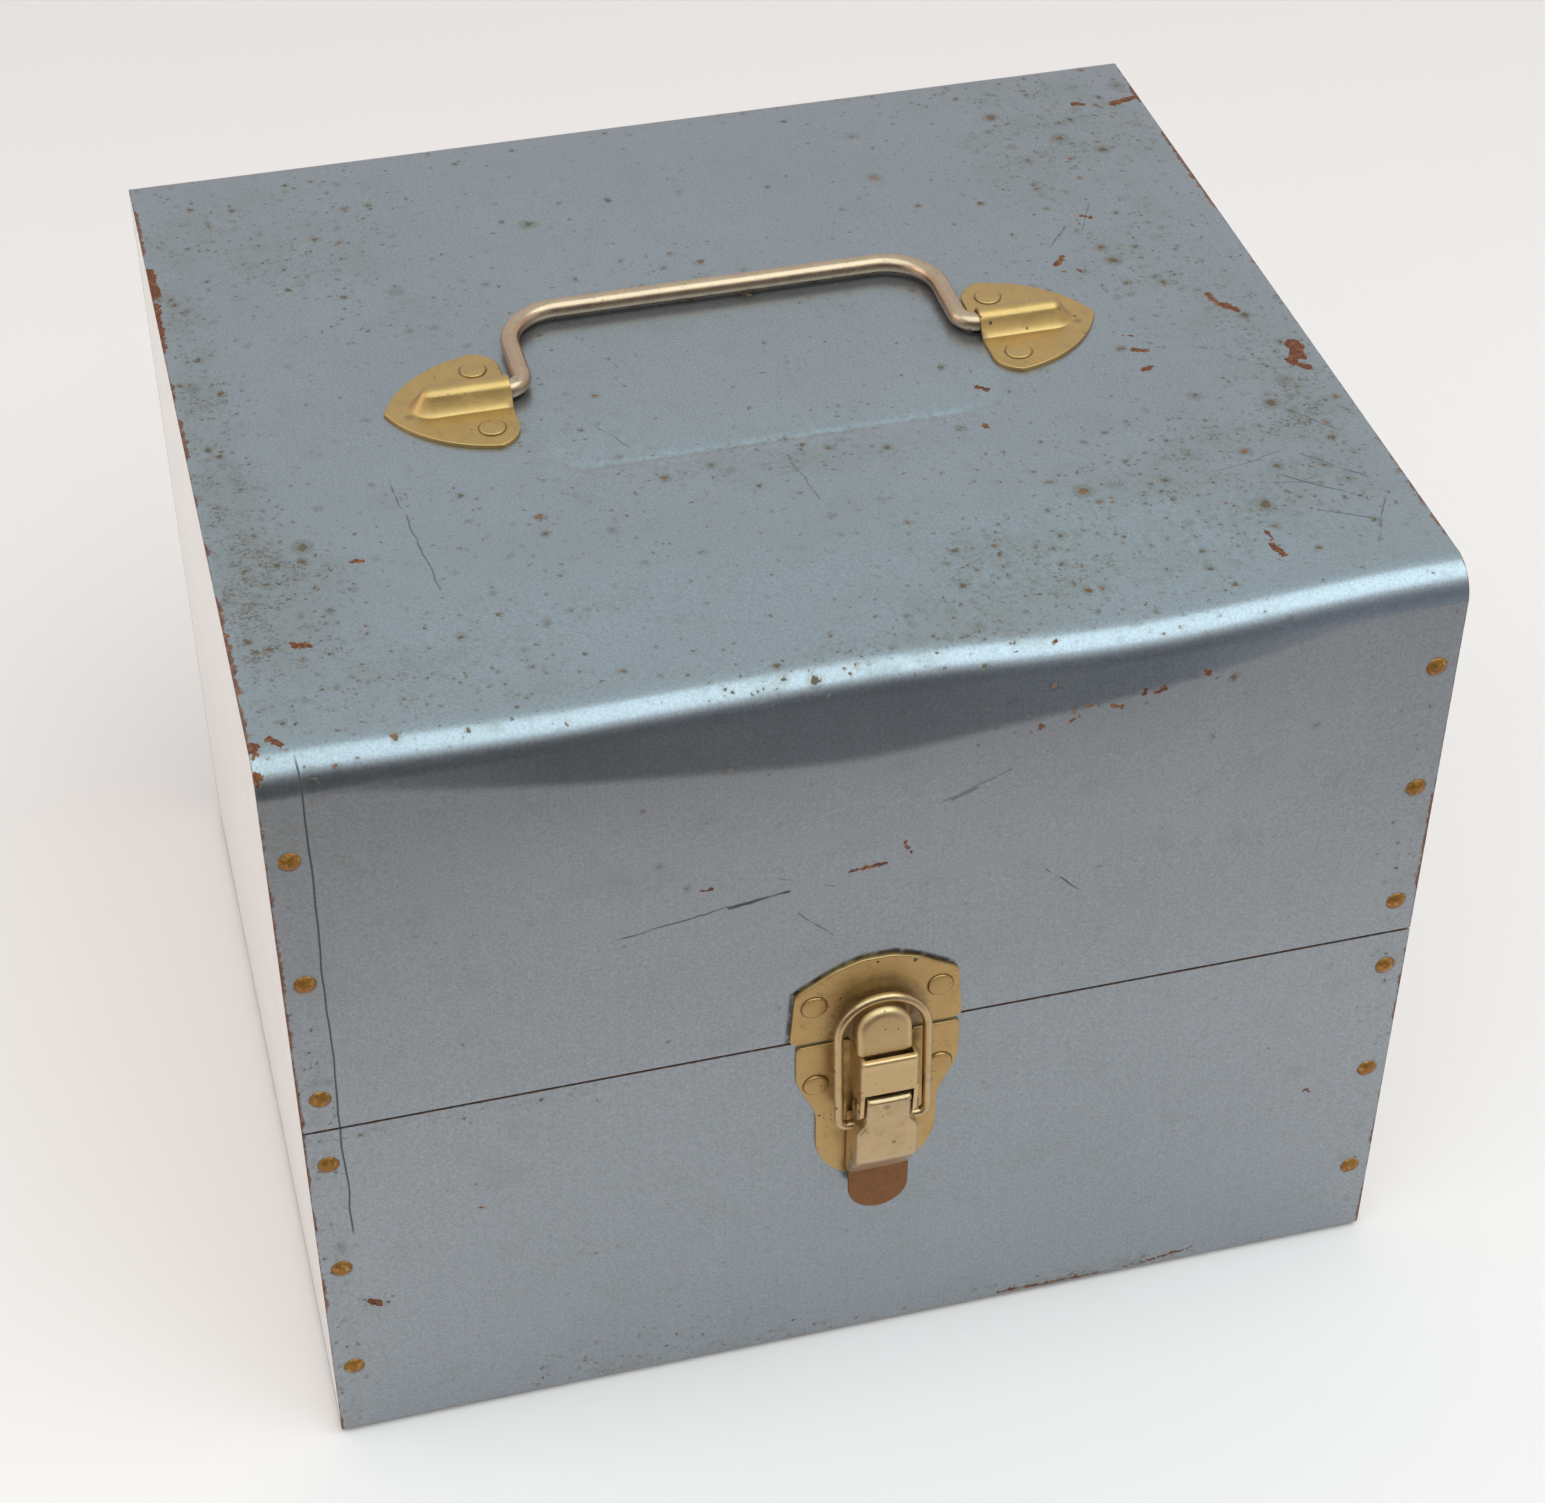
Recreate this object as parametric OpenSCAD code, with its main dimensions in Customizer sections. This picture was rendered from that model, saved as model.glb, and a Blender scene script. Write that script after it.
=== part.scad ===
// Sewing box: sheet-metal base and lid wrapped round wooden ends, folding
// wire handle, draw latch, butt hinges and two lift-out trays.
// Origin: centre of the bottom face. +X right, -Y front, +Z up. Millimetres.

/* [Box] */
// Width of the box, left to right
box_w = 254; // [235:1:280]
// Depth of the box, front to back
box_d = 226; // [205:1:250]
// Height of the base, bottom face to seam
base_h = 102; // [100:1:125]
// Height of the lid, seam to top face
lid_h = 102; // [85:1:125]
// Thickness of the sheet metal
sheet_t = 0.8; // [0.6:0.1:1.2]
// Thickness of the wooden end panels
end_t = 9.5; // [8:0.5:12]
// Outside radius of the lid's front bend
lid_front_r = 8; // [5:0.5:12]
// Outside radius of the lid's back bend
lid_back_r = 1.6; // [1.4:0.1:3]
// Outside radius of the base's two bends
base_r = 2.6; // [1.6:0.1:5]

/* [Nails] */
// Radius of a domed nail head
nail_head_r = 2.35; // [2:0.05:3]
// Height of a domed nail head
nail_head_h = 1.1; // [0.8:0.1:1.6]
// Radius of a nail's shank
nail_shank_r = 0.8; // [0.6:0.1:1]
// Length of a nail's shank
nail_len = 14; // [10:1:18]
// Distance between nails in a column
nail_pitch = 34; // [28:1:35]
// Lowest lid nail above the seam
lid_nail_rise = 9.8; // [8:0.1:12]
// Highest base nail below the seam
base_nail_drop = 10.5; // [8:0.1:12]

/* [Handle] */
// Radius of the handle wire
bail_wire_r = 2.2; // [1.8:0.1:2.3]
// Distance between the handle's legs, centre to centre
bail_span = 101.6; // [90:0.1:115]
// Distance from the handle's pivot line to its bar
bail_reach = 30; // [26:1:36]
// Centreline bend radius where the legs meet the bar
bail_bend_r = 10; // [7:0.5:12]
// Centreline bend radius where the legs meet the pivot pins
bail_pin_bend_r = 3.6; // [3:0.1:4]
// Height of the handle's pivot line above the lid
bail_pivot_h = 2.5; // [2.4:0.1:3]
// Length of a handle plate, open edge to tip
handle_plate_len = 28.4; // [26:0.1:32]
// Width of a handle plate across its lobes
handle_plate_w = 38.2; // [36:0.1:42]
// Thickness of the handle and latch plates
plate_t = 0.9; // [0.7:0.1:1.1]
// Radius of a handle plate's two curved sides
handle_side_r = 29.2; // [28:0.1:32]
// Radius of a handle plate's two inner corners
handle_corner_r = 7.5; // [6:0.5:9]
// Wall of the handle plate's raised barrel
barrel_wall = 1.1; // [0.8:0.1:1.3]
// Length of the barrel's straight part
barrel_len = 17.6; // [16:0.1:19]
// Distance from a handle plate's open edge to its rivets
handle_rivet_in = 6.2; // [5.5:0.1:7]
// Distance between a handle plate's two rivets
handle_rivet_pitch = 23.4; // [21:0.1:25]

/* [Rivets] */
// Radius of a rivet head
rivet_head_r = 2.95; // [2.5:0.05:3.2]
// Height of a rivet head
rivet_head_h = 0.7; // [0.5:0.1:1]
// Radius of a rivet's shank
rivet_shank_r = 1.2; // [1:0.1:1.4]
// Radius of the flattened end inside the box
rivet_tail_r = 2.2; // [1.8:0.1:2.6]
// Height of the flattened end inside the box
rivet_tail_h = 0.6; // [0.4:0.1:0.8]

/* [Latch] */
// Half width of the lid plate at the seam
catch_half_w = 19.8; // [18.5:0.1:21]
// Height of the lid plate's shoulders above the seam
catch_shoulder = 15; // [14.5:0.1:16]
// Height of the lid plate's crown above the seam
catch_crown = 22.2; // [20:0.1:24]
// Distance of each latch rivet from the middle line
latch_rivet_x = 14.3; // [14:0.1:15]
// Height of the lid plate's rivets above the seam
catch_rivet_rise = 11; // [9:0.1:11.5]
// Width of the catch's nose
nose_w = 13.3; // [12:0.1:13.8]
// Height of the nose's round top above the seam
nose_top = 12.6; // [12:0.1:13.4]
// Height of the nose's lip over the seat of the wire loop
nose_lip = 0.4; // [0.3:0.1:0.5]
// Distance the nose stands out from the box
nose_out = 6.8; // [6.6:0.1:7.2]
// Thickness of the nose's front lip
nose_lip_t = 0.8; // [0.6:0.1:0.9]
// Half width of the base plate at its shoulders
base_plate_half_w = 18.8; // [18:0.1:20]
// Half width of the base plate at its waist
base_plate_waist = 14.1; // [13:0.1:15]
// Length of the base plate below the seam
base_plate_len = 46; // [44:0.5:50]
// Height of the base plate's rivets below the seam
base_plate_rivet_drop = 13.4; // [10:0.1:14]
// Width of the bracket that carries the lever
bracket_w = 13.2; // [13:0.1:13.6]
// Distance the bracket stands out from the box
bracket_out = 10.5; // [10.3:0.1:10.8]
// Height of the bracket's bridge
bracket_bridge = 10.2; // [9:0.1:10.3]
// Thickness of the bracket's and the lever's sheet
lever_t = 1; // [0.8:0.1:1.1]
// Radius of the lever pin
lever_pin_r = 1.2; // [1:0.1:1.3]
// Distance of the lever pin below the seam
lever_pin_drop = 16.5; // [16.3:0.1:17]
// Distance of the lever pin out from the box
lever_pin_out = 7.5; // [7.3:0.1:7.6]
// Width of the lever's neck between the bracket's ears
lever_neck_w = 10.3; // [9.6:0.1:10.4]
// Length of the lever from its top edge to its foot
lever_len = 28.9; // [27:0.1:31]
// Length of the thumb tab below the lever's foot
tab_len = 12.5; // [10:0.1:15]
// Width of the thumb tab
tab_w = 14.1; // [12:0.1:15]
// Radius of the loop wire
loop_wire_r = 1.1; // [0.9:0.05:1.15]
// Distance between the loop's arms, centre to centre
loop_w = 20.3; // [19.5:0.1:22]
// Distance of the loop's pivot below the lever pin
loop_pin_drop = 6.5; // [6.3:0.1:7]
// Distance of the loop's pivot behind the lever pin
loop_pin_in = 1.7; // [1.5:0.1:2]

/* [Hinges] */
// Distance of each hinge's middle from the middle of the box
hinge_x = 75; // [50:1:85]
// Width of a hinge
hinge_w = 32; // [28:1:40]
// Height of a hinge leaf below or above the seam
hinge_leaf_h = 23; // [22:1:30]
// Thickness of a hinge leaf
hinge_t = 1.2; // [1:0.1:1.5]
// Outside radius of a hinge knuckle
knuckle_r = 3; // [2.8:0.1:3.5]
// Radius of a hinge pin
hinge_pin_r = 1.3; // [1.1:0.1:1.5]

/* [Trays] */
// Depth of the rails' top edge below the seam, where the lower tray rests
rail_drop = 44; // [42:1:50]
// Width of a rail, from the end panel inwards
rail_w = 8; // [7:0.5:12]
// Height of a rail
rail_h = 12; // [10:0.5:18]
// Radius of a rail screw's head
screw_head_r = 2.6; // [2:0.1:3]
// Height of the lower tray
lower_tray_h = 40; // [30:1:42]
// Height of the upper tray
upper_tray_h = 38; // [30:1:40]
// Depth of the upper tray, front to back
upper_tray_d = 106; // [90:1:108]
// Thickness of the trays' sheet metal
tray_sheet_t = 0.7; // [0.5:0.1:1]
// Thickness of the trays' wooden ends
tray_end_t = 6; // [5:0.5:8]
// Thickness of the lower tray's wooden dividers
divider_t = 3; // [2:0.5:4]
// Gap between a tray and each end panel
tray_side_gap = 1; // [0.5:0.1:2]
// Gap between a tray and the front and back sheets
tray_front_gap = 5; // [4:0.5:6]
// Number of spool pegs in a row
peg_count = 6; // [4:1:7]
// Radius of a spool peg
peg_r = 2.4; // [2:0.1:3]
// Height of a spool peg above the upper tray's floor
peg_h = 28; // [20:1:29]

/* [Hidden] */
$fn = 64;

// Radial clearance of a shank or pin that stays put in its hole
hold_fit = 0.03;
// Radial clearance of a pin that turns in its hole
turn_fit = 0.08;
// Gap between curved faces of pieces that move past each other
move_gap = 0.3;
// Gap between a piece on the base and one on the lid at the seam
seam_gap = 0.2;
// Overrun of a cut past the face that it opens
eps = 0.5;

box_h = base_h + lid_h;
front_y = -box_d / 2;
back_y = box_d / 2;
inner_x = box_w / 2 - end_t;
inner_y = box_d / 2 - sheet_t;

// Nails stand in the middle of the end panels' thickness
nail_x = box_w / 2 - end_t / 2;
nail_count = 3;

// Handle
bail_z = box_h + bail_pivot_h;
bail_leg_x = bail_span / 2;
barrel_x = bail_leg_x + bail_pin_bend_r;
barrel_bore_r = bail_wire_r + turn_fit;
barrel_r = barrel_bore_r + barrel_wall;
barrel_nose = 3.5;
barrel_nose_r = 1.2;
bail_pin_gap = 0.4;
bail_pin_len = barrel_len - bail_pin_gap;
handle_rivet_x = barrel_x + handle_rivet_in;

// Latch, measured from the seam and outwards from the front sheet
plate_gap = 1.2;
plate_corner = 1.5;
catch_taper = 1.2;
nose_gap = 0.4;
nose_back = nose_out - nose_lip_t;
nose_wall = 1;
ear_r = bracket_out - lever_pin_out;
bracket_roll_r = 0.8;
bracket_roll_out = 0.4;
bracket_ear_lap = 1;
lever_w = bracket_w;
lever_head = 4.9;
lever_head_roll = 0.7;
lever_head_out = 2.3;
lever_crest_drop = 1.9;
lever_crest_rise = 3.8;
lever_shoulder_gap = 1.5;
lever_kick_len = 5;
lever_bend_in = 0.2;
lever_foot_in = 2.6;
lever_back_gap = 0.9;
lever_cheek_in = 0.1;
lever_cheek_lap = 1;
lever_top = lever_pin_drop - lever_head;
lever_crest = lever_top + lever_crest_drop;
lever_shoulder = lever_pin_drop + ear_r + lever_shoulder_gap;
lever_foot = lever_top + lever_len;
lever_bend = lever_foot - lever_kick_len;
lever_crest_out = lever_pin_out + lever_crest_rise;
lever_bend_out = lever_pin_out - lever_bend_in;
lever_foot_out = lever_pin_out - lever_foot_in;
lever_back_out = plate_t + lever_back_gap;
lever_cheek_out = lever_pin_out - ear_r + lever_cheek_in;
tab_t = 0.9;
loop_pin_z = -(lever_pin_drop + loop_pin_drop);
loop_pin_out = lever_pin_out - loop_pin_in;
loop_bend_r = 2;
loop_seat_gap = 0.65;
loop_top_z = nose_top - nose_lip + loop_wire_r + loop_seat_gap;
loop_top_out = nose_back - move_gap - loop_wire_r;
loop_rise = loop_top_z - loop_pin_z;
loop_tilt = atan((loop_pin_out - loop_top_out) / loop_rise);
loop_len = norm([loop_rise, loop_pin_out - loop_top_out]);
loop_end_reach = 0.4;
loop_pin_end = lever_w / 2 - lever_t - loop_end_reach;
lever_pin_proud = 0.5;
lever_pin_len = bracket_w + 2 * lever_pin_proud;

// Hinges
hinge_y = back_y + knuckle_r + move_gap;
hinge_knuckle = hinge_w / 3;
hinge_pin_head = 0.7;
hinge_pin_head_r = hinge_pin_r + hinge_pin_head;
hinge_pin_head_h = 0.8;
hinge_rivet_edge = 6;
hinge_rivet_rise = 9.5;
hinge_rivet_x = hinge_w / 2 - hinge_rivet_edge;
hinge_rivets = [[-hinge_rivet_x, hinge_rivet_rise], [hinge_rivet_x, hinge_rivet_rise],
                [0, hinge_leaf_h - hinge_rivet_edge]];
hinge_rivet_head_r = 2.5;

// Trays
tray_w = 2 * (inner_x - tray_side_gap);
tray_d = 2 * (inner_y - tray_front_gap);
tray_bend_r = 1.6;
rail_top = base_h - rail_drop;
lower_tray_z = rail_top;
upper_tray_z = rail_top + lower_tray_h;
upper_tray_y = tray_d / 2 - upper_tray_d / 2;
rail_set_back = 5;
rail_len = tray_d - 2 * rail_set_back;
rail_screw_count = 3;
rail_screw_in = 20;
rail_screw_r = 1.3;
rail_screw_len = rail_w + end_t / 2;
tray_nail_head_r = 1.4;
tray_nail_head_h = 0.4;
tray_nail_r = 0.6;
tray_nail_len = 9;
divider_low = 6;
peg_shoulder_h = 2;
peg_shoulder = 2;
peg_shoulder_r = peg_r + peg_shoulder;

sheet_blue = [0.45, 0.54, 0.61];
brass_gold = [0.67, 0.58, 0.38];
wire_gold = [0.72, 0.61, 0.50];
nail_brass = [0.58, 0.43, 0.20];
end_white = [0.90, 0.87, 0.86];
tray_grey = [0.62, 0.66, 0.68];
pine = [0.80, 0.66, 0.46];

// ---------- shared shapes ----------

module both_sides() {
  children();
  mirror([1, 0, 0]) children();
}

module both_faces() {
  children();
  mirror([0, 1, 0]) children();
}

// What is cut off a square corner at the origin to round it
module corner_cut(r) {
  difference() {
    translate([-eps, -eps]) square(r + eps);
    translate([r, r]) circle(r);
    translate([r, -2 * eps]) square(2 * r);
    translate([-2 * eps, r]) square(2 * r);
  }
}

// Rectangle from [x0, y0] to [x1, y1]: low and high corners rounded, left and right apart
module rounded_rect(x0, x1, y0, y1, low = [0, 0], high = [0, 0]) {
  difference() {
    translate([x0, y0]) square([x1 - x0, y1 - y0]);
    if (low[0] > 0) translate([x0, y0]) corner_cut(low[0]);
    if (low[1] > 0) translate([x1, y0]) mirror([1, 0]) corner_cut(low[1]);
    if (high[0] > 0) translate([x0, y1]) mirror([0, 1]) corner_cut(high[0]);
    if (high[1] > 0) translate([x1, y1]) rotate(180) corner_cut(high[1]);
  }
}

// Stands a side outline, drawn as [y, z], across the box from x0 to x1
module across(x0, x1) {
  translate([x0, 0, 0]) rotate([90, 0, 90]) linear_extrude(x1 - x0) children();
}

// Stands a side outline, drawn as [distance out, height], across the latch
module latch_side(w) {
  mirror([0, 1, 0]) rotate([90, 0, 90]) linear_extrude(w, center = true) children();
}

// Lays a front outline, drawn as [x, height], from out0 to out1 in front of the box
module latch_front(out0, out1) {
  translate([0, -out0, 0]) rotate([90, 0, 0]) linear_extrude(out1 - out0) children();
}

// Carries latch pieces from their own origin to the seam at the front
module at_latch() {
  translate([0, front_y, base_h]) children();
}

// Domed head on the face z = 0, shank below it, and a flattened end if tail_r is set
module dome_pin(head_r, head_h, shank_r, len, tail_r = 0, tail_h = 0) {
  cap_r = (head_r * head_r + head_h * head_h) / (2 * head_h);
  rotate_extrude() {
    intersection() {
      translate([0, head_h - cap_r]) circle(cap_r);
      square([head_r, head_h]);
    }
    translate([0, -len]) square([shank_r, len]);
    if (tail_r > 0) translate([0, -len - tail_h]) square([tail_r, tail_h]);
  }
}

// Turns a pin so that its head faces the front
module face_front() {
  rotate([90, 0, 0]) children();
}

// ---------- shells and wooden ends ----------

function lid_nail_z(i) = base_h + lid_nail_rise + i * nail_pitch;
function base_nail_z(i) = base_h - base_nail_drop - i * nail_pitch;

// Holes or nails of one nail column at each front corner and each back corner
module nail_columns(heights) {
  both_sides() both_faces()
    for (z = heights) translate([nail_x, front_y, z]) face_front() children();
}

lid_nails_z = [for (i = [0 : nail_count - 1]) lid_nail_z(i)];
base_nails_z = [for (i = [0 : nail_count - 1]) base_nail_z(i)];

module nail_hole() {
  translate([0, 0, -nail_len - eps]) cylinder(r = nail_shank_r + hold_fit, h = nail_len + 2 * eps);
}

module box_nail() {
  dome_pin(nail_head_r, nail_head_h, nail_shank_r, nail_len);
}

module rivet_hole() {
  reach = sheet_t + hinge_t + eps;
  translate([0, 0, -reach]) cylinder(r = rivet_shank_r + hold_fit, h = 2 * reach);
}

module base_shell() {
  color(sheet_blue) difference() {
    across(-box_w / 2, box_w / 2) difference() {
      rounded_rect(front_y, back_y, 0, base_h, low = [base_r, base_r]);
      rounded_rect(-inner_y, inner_y, sheet_t, base_h + eps,
                   low = [base_r - sheet_t, base_r - sheet_t]);
    }
    nail_columns(base_nails_z) nail_hole();
    latch_base_rivet_places() rivet_hole();
    hinge_rivet_places(-1) rivet_hole();
  }
}

module lid_shell() {
  color(sheet_blue) difference() {
    across(-box_w / 2, box_w / 2) difference() {
      rounded_rect(front_y, back_y, base_h, box_h, high = [lid_front_r, lid_back_r]);
      rounded_rect(-inner_y, inner_y, base_h - eps, box_h - sheet_t,
                   high = [lid_front_r - sheet_t, lid_back_r - sheet_t]);
    }
    nail_columns(lid_nails_z) nail_hole();
    catch_rivet_places() rivet_hole();
    hinge_rivet_places(1) rivet_hole();
    handle_rivet_places() rivet_hole();
  }
}

// A wooden end fills the wrap; its round corners stand a little inside the bends
module base_end() {
  r = base_r - sheet_t + move_gap;
  color(end_white) difference() {
    across(inner_x, box_w / 2)
      rounded_rect(-inner_y, inner_y, sheet_t, base_h, low = [r, r]);
    nail_columns(base_nails_z) nail_hole();
    rail_screw_places() translate([0, 0, -rail_screw_len - eps])
      cylinder(r = rail_screw_r + hold_fit, h = rail_screw_len + eps);
  }
}

module lid_end() {
  front_r = lid_front_r - sheet_t + move_gap;
  back_r = lid_back_r - sheet_t + move_gap;
  color(end_white) difference() {
    across(inner_x, box_w / 2)
      rounded_rect(-inner_y, inner_y, base_h, box_h - sheet_t, high = [front_r, back_r]);
    nail_columns(lid_nails_z) nail_hole();
  }
}

module base_end_right() { base_end(); }
module base_end_left() { mirror([1, 0, 0]) base_end(); }
module lid_end_right() { lid_end(); }
module lid_end_left() { mirror([1, 0, 0]) lid_end(); }

module base_nails() {
  color(nail_brass) nail_columns(base_nails_z) box_nail();
}

module lid_nails() {
  color(nail_brass) nail_columns(lid_nails_z) box_nail();
}

// ---------- handle ----------

module handle_rivet_places() {
  both_sides() both_faces()
    translate([handle_rivet_x, handle_rivet_pitch / 2, box_h]) children();
}

// Shield outline: two arcs meet at the tip, the open edge is straight
module handle_outline() {
  arc_y = handle_side_r - handle_plate_w / 2;
  tip_x = barrel_x + handle_plate_len;
  arc_x = tip_x - sqrt(handle_side_r * handle_side_r - arc_y * arc_y);
  intersection() {
    translate([arc_x, -arc_y]) circle(handle_side_r);
    translate([arc_x, arc_y]) circle(handle_side_r);
    rounded_rect(barrel_x, tip_x + eps, -handle_plate_w / 2, handle_plate_w / 2,
                 low = [handle_corner_r, 0], high = [handle_corner_r, 0]);
  }
}

module handle_plate() {
  color(brass_gold) difference() {
    union() {
      translate([0, 0, box_h]) linear_extrude(plate_t) handle_outline();
      intersection() {
        translate([barrel_x, 0, bail_z]) rotate([0, 90, 0]) {
          cylinder(r = barrel_r, h = barrel_len);
          translate([0, 0, barrel_len]) cylinder(r1 = barrel_r, r2 = barrel_nose_r, h = barrel_nose);
        }
        translate([barrel_x, -barrel_r, box_h]) cube([barrel_len + barrel_nose, 2 * barrel_r, 4 * barrel_r]);
      }
    }
    translate([barrel_x - eps, 0, bail_z]) rotate([0, 90, 0])
      cylinder(r = barrel_bore_r, h = barrel_len + eps);
    handle_rivet_places() rivet_hole();
  }
}

module handle_plate_right() { handle_plate(); }
module handle_plate_left() { mirror([1, 0, 0]) handle_plate(); }

module plate_rivet() {
  translate([0, 0, plate_t])
    dome_pin(rivet_head_r, rivet_head_h, rivet_shank_r, plate_t + sheet_t, rivet_tail_r, rivet_tail_h);
}

module handle_rivets() {
  color(brass_gold) handle_rivet_places() plate_rivet();
}

// A quarter turn of wire: enters along -Y at the origin's right, bends round to the left
module wire_bend(bend_r, wire_r) {
  rotate_extrude(angle = 90) translate([bend_r, 0]) circle(wire_r);
}

// The handle lies folded back on the lid
module handle_bail() {
  leg_y0 = bail_pin_bend_r;
  leg_y1 = bail_reach - bail_bend_r;
  bar_x = bail_leg_x - bail_bend_r;
  color(wire_gold) translate([0, 0, bail_z]) {
    translate([-bar_x, bail_reach, 0]) rotate([0, 90, 0]) cylinder(r = bail_wire_r, h = 2 * bar_x);
    both_sides() {
      translate([barrel_x, 0, 0]) rotate([0, 90, 0]) cylinder(r = bail_wire_r, h = bail_pin_len);
      translate([barrel_x, leg_y0, 0]) rotate(180) wire_bend(bail_pin_bend_r, bail_wire_r);
      translate([bail_leg_x, leg_y0, 0]) rotate([-90, 0, 0]) cylinder(r = bail_wire_r, h = leg_y1 - leg_y0);
      translate([bar_x, leg_y1, 0]) wire_bend(bail_bend_r, bail_wire_r);
    }
  }
}

// ---------- latch, lid half ----------

module catch_rivet_places() {
  at_latch() both_sides() translate([latch_rivet_x, 0, catch_rivet_rise]) face_front() children();
}

// Broad plate with sloping shoulders and a rounded crown
module catch_outline() {
  top_w = catch_half_w - catch_taper;
  rise = catch_crown - catch_shoulder;
  side = [[catch_half_w - plate_corner, 0], [catch_half_w, plate_corner],
          [top_w, catch_shoulder - plate_corner], [top_w - plate_corner, catch_shoulder + rise * 0.1],
          [top_w * 0.65, catch_shoulder + rise * 0.45], [top_w * 0.32, catch_crown - rise * 0.13],
          [top_w * 0.16, catch_crown - rise * 0.03]];
  other = [for (i = [len(side) - 1 : -1 : 0]) [-side[i][0], side[i][1]]];
  polygon(concat(side, [[0, catch_crown]], other));
}

// Upright outline with a half-round top, from the nose's foot up to top
module nose_outline(w, foot, top) {
  translate([-w / 2, foot]) square([w, top - w / 2 - foot]);
  translate([0, top - w / 2]) circle(w / 2);
}

// Plate with a stamped nose that is hollow and open below; the wire loop hooks behind its lip
module catch_plate() {
  seat_top = nose_top - nose_lip;
  seat_w = nose_w - 2 * nose_lip;
  color(brass_gold) difference() {
    at_latch() difference() {
      union() {
        latch_front(0, plate_t) catch_outline();
        latch_front(0, nose_back) nose_outline(seat_w, nose_gap, seat_top);
        latch_front(nose_back, nose_out) nose_outline(nose_w, nose_gap, nose_top);
      }
      latch_front(plate_t, nose_back)
        nose_outline(seat_w - 2 * nose_wall, -eps, seat_top - nose_wall);
    }
    catch_rivet_places() rivet_hole();
  }
}

module catch_rivets() {
  color(brass_gold) catch_rivet_places() plate_rivet();
}

// ---------- latch, base half ----------

module latch_base_rivet_places() {
  at_latch() both_sides() translate([latch_rivet_x, 0, -base_plate_rivet_drop]) face_front() children();
}

// Half width of the base plate at a depth d below the seam
base_plate_neck0 = 7;
base_plate_neck1 = 25;
base_plate_round = 30;
base_plate_step = 2;
function base_plate_half(d) =
  d < base_plate_neck0 ? base_plate_half_w
  : d < base_plate_neck1 ? base_plate_waist + (base_plate_half_w - base_plate_waist)
    * (1 + cos(180 * (d - base_plate_neck0) / (base_plate_neck1 - base_plate_neck0))) / 2
  : d < base_plate_round ? base_plate_waist
  : base_plate_waist * sqrt(max(0, 1 - pow((d - base_plate_round) / (base_plate_len - base_plate_round), 2)));

module base_plate_outline() {
  depths = concat([plate_gap + plate_corner],
                  [for (d = [base_plate_neck0 : base_plate_step : base_plate_len - 1]) d]);
  right = concat([[base_plate_half_w - plate_corner, -plate_gap]],
                 [for (d = depths) [base_plate_half(d), -d]]);
  left = [for (i = [len(right) - 1 : -1 : 0]) [-right[i][0], right[i][1]]];
  polygon(concat(right, [[0, -base_plate_len]], left));
}

// Side wall of the bracket with the ear that holds the lever pin
module ear_outline() {
  polygon([[0, -plate_gap], [plate_t, -seam_gap], [bracket_out, -seam_gap],
           [bracket_out, -lever_pin_drop], [lever_pin_out - ear_r, -lever_pin_drop],
           [plate_t, -bracket_bridge - bracket_ear_lap], [0, -bracket_bridge - bracket_ear_lap]]);
  translate([lever_pin_out, -lever_pin_drop]) circle(ear_r);
}

module lever_pin_bore(fit) {
  translate([0, -lever_pin_out, -lever_pin_drop]) rotate([0, 90, 0])
    cylinder(r = lever_pin_r + fit, h = 2 * bracket_w, center = true);
}

module latch_base() {
  color(brass_gold) difference() {
    at_latch() difference() {
      union() {
        latch_front(0, plate_t) base_plate_outline();
        both_sides() translate([(bracket_w - lever_t) / 2, 0, 0]) latch_side(lever_t) ear_outline();
        latch_side(bracket_w) translate([bracket_out - lever_t, -bracket_bridge])
          square([lever_t, bracket_bridge - seam_gap]);
        latch_side(bracket_w)
          translate([bracket_out - bracket_roll_r + bracket_roll_out, -seam_gap - bracket_roll_r])
            circle(bracket_roll_r);
      }
      lever_pin_bore(hold_fit);
    }
    latch_base_rivet_places() rivet_hole();
  }
}

module latch_base_rivets() {
  color(brass_gold) latch_base_rivet_places() plate_rivet();
}

module lever_pin() {
  color(brass_gold) at_latch() translate([0, -lever_pin_out, -lever_pin_drop]) rotate([0, 90, 0])
    cylinder(r = lever_pin_r, h = lever_pin_len, center = true);
}

// Outside of the lever from the side: rolled top edge, sloping face, turned-in foot
module lever_side() {
  polygon([[lever_pin_out + lever_t, -lever_top], [lever_pin_out + lever_head_out, -lever_top],
           [lever_crest_out - lever_head_roll, -lever_top - lever_head_roll],
           [lever_crest_out, -lever_crest], [lever_bend_out, -lever_bend],
           [lever_foot_out, -lever_foot], [lever_back_out, -lever_foot],
           [lever_back_out, -lever_shoulder - ear_r],
           [lever_cheek_out, -lever_shoulder + lever_cheek_lap],
           [lever_cheek_out, -lever_pin_drop + lever_head / 2]]);
}

// Hollow of the lever's channel, open to the back
module lever_hollow() {
  polygon([[-eps, -lever_top + eps], [lever_pin_out + lever_head_out - lever_t, -lever_top + eps],
           [lever_crest_out - lever_t, -lever_crest], [lever_bend_out - lever_t, -lever_bend],
           [lever_foot_out - lever_t, -lever_foot], [lever_foot_out - lever_t, -lever_foot - eps],
           [-eps, -lever_foot - eps]]);
}

module lever_band(z0, z1) {
  translate([-eps, -z1]) square([lever_crest_out + 2 * eps, z1 - z0]);
}

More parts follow.
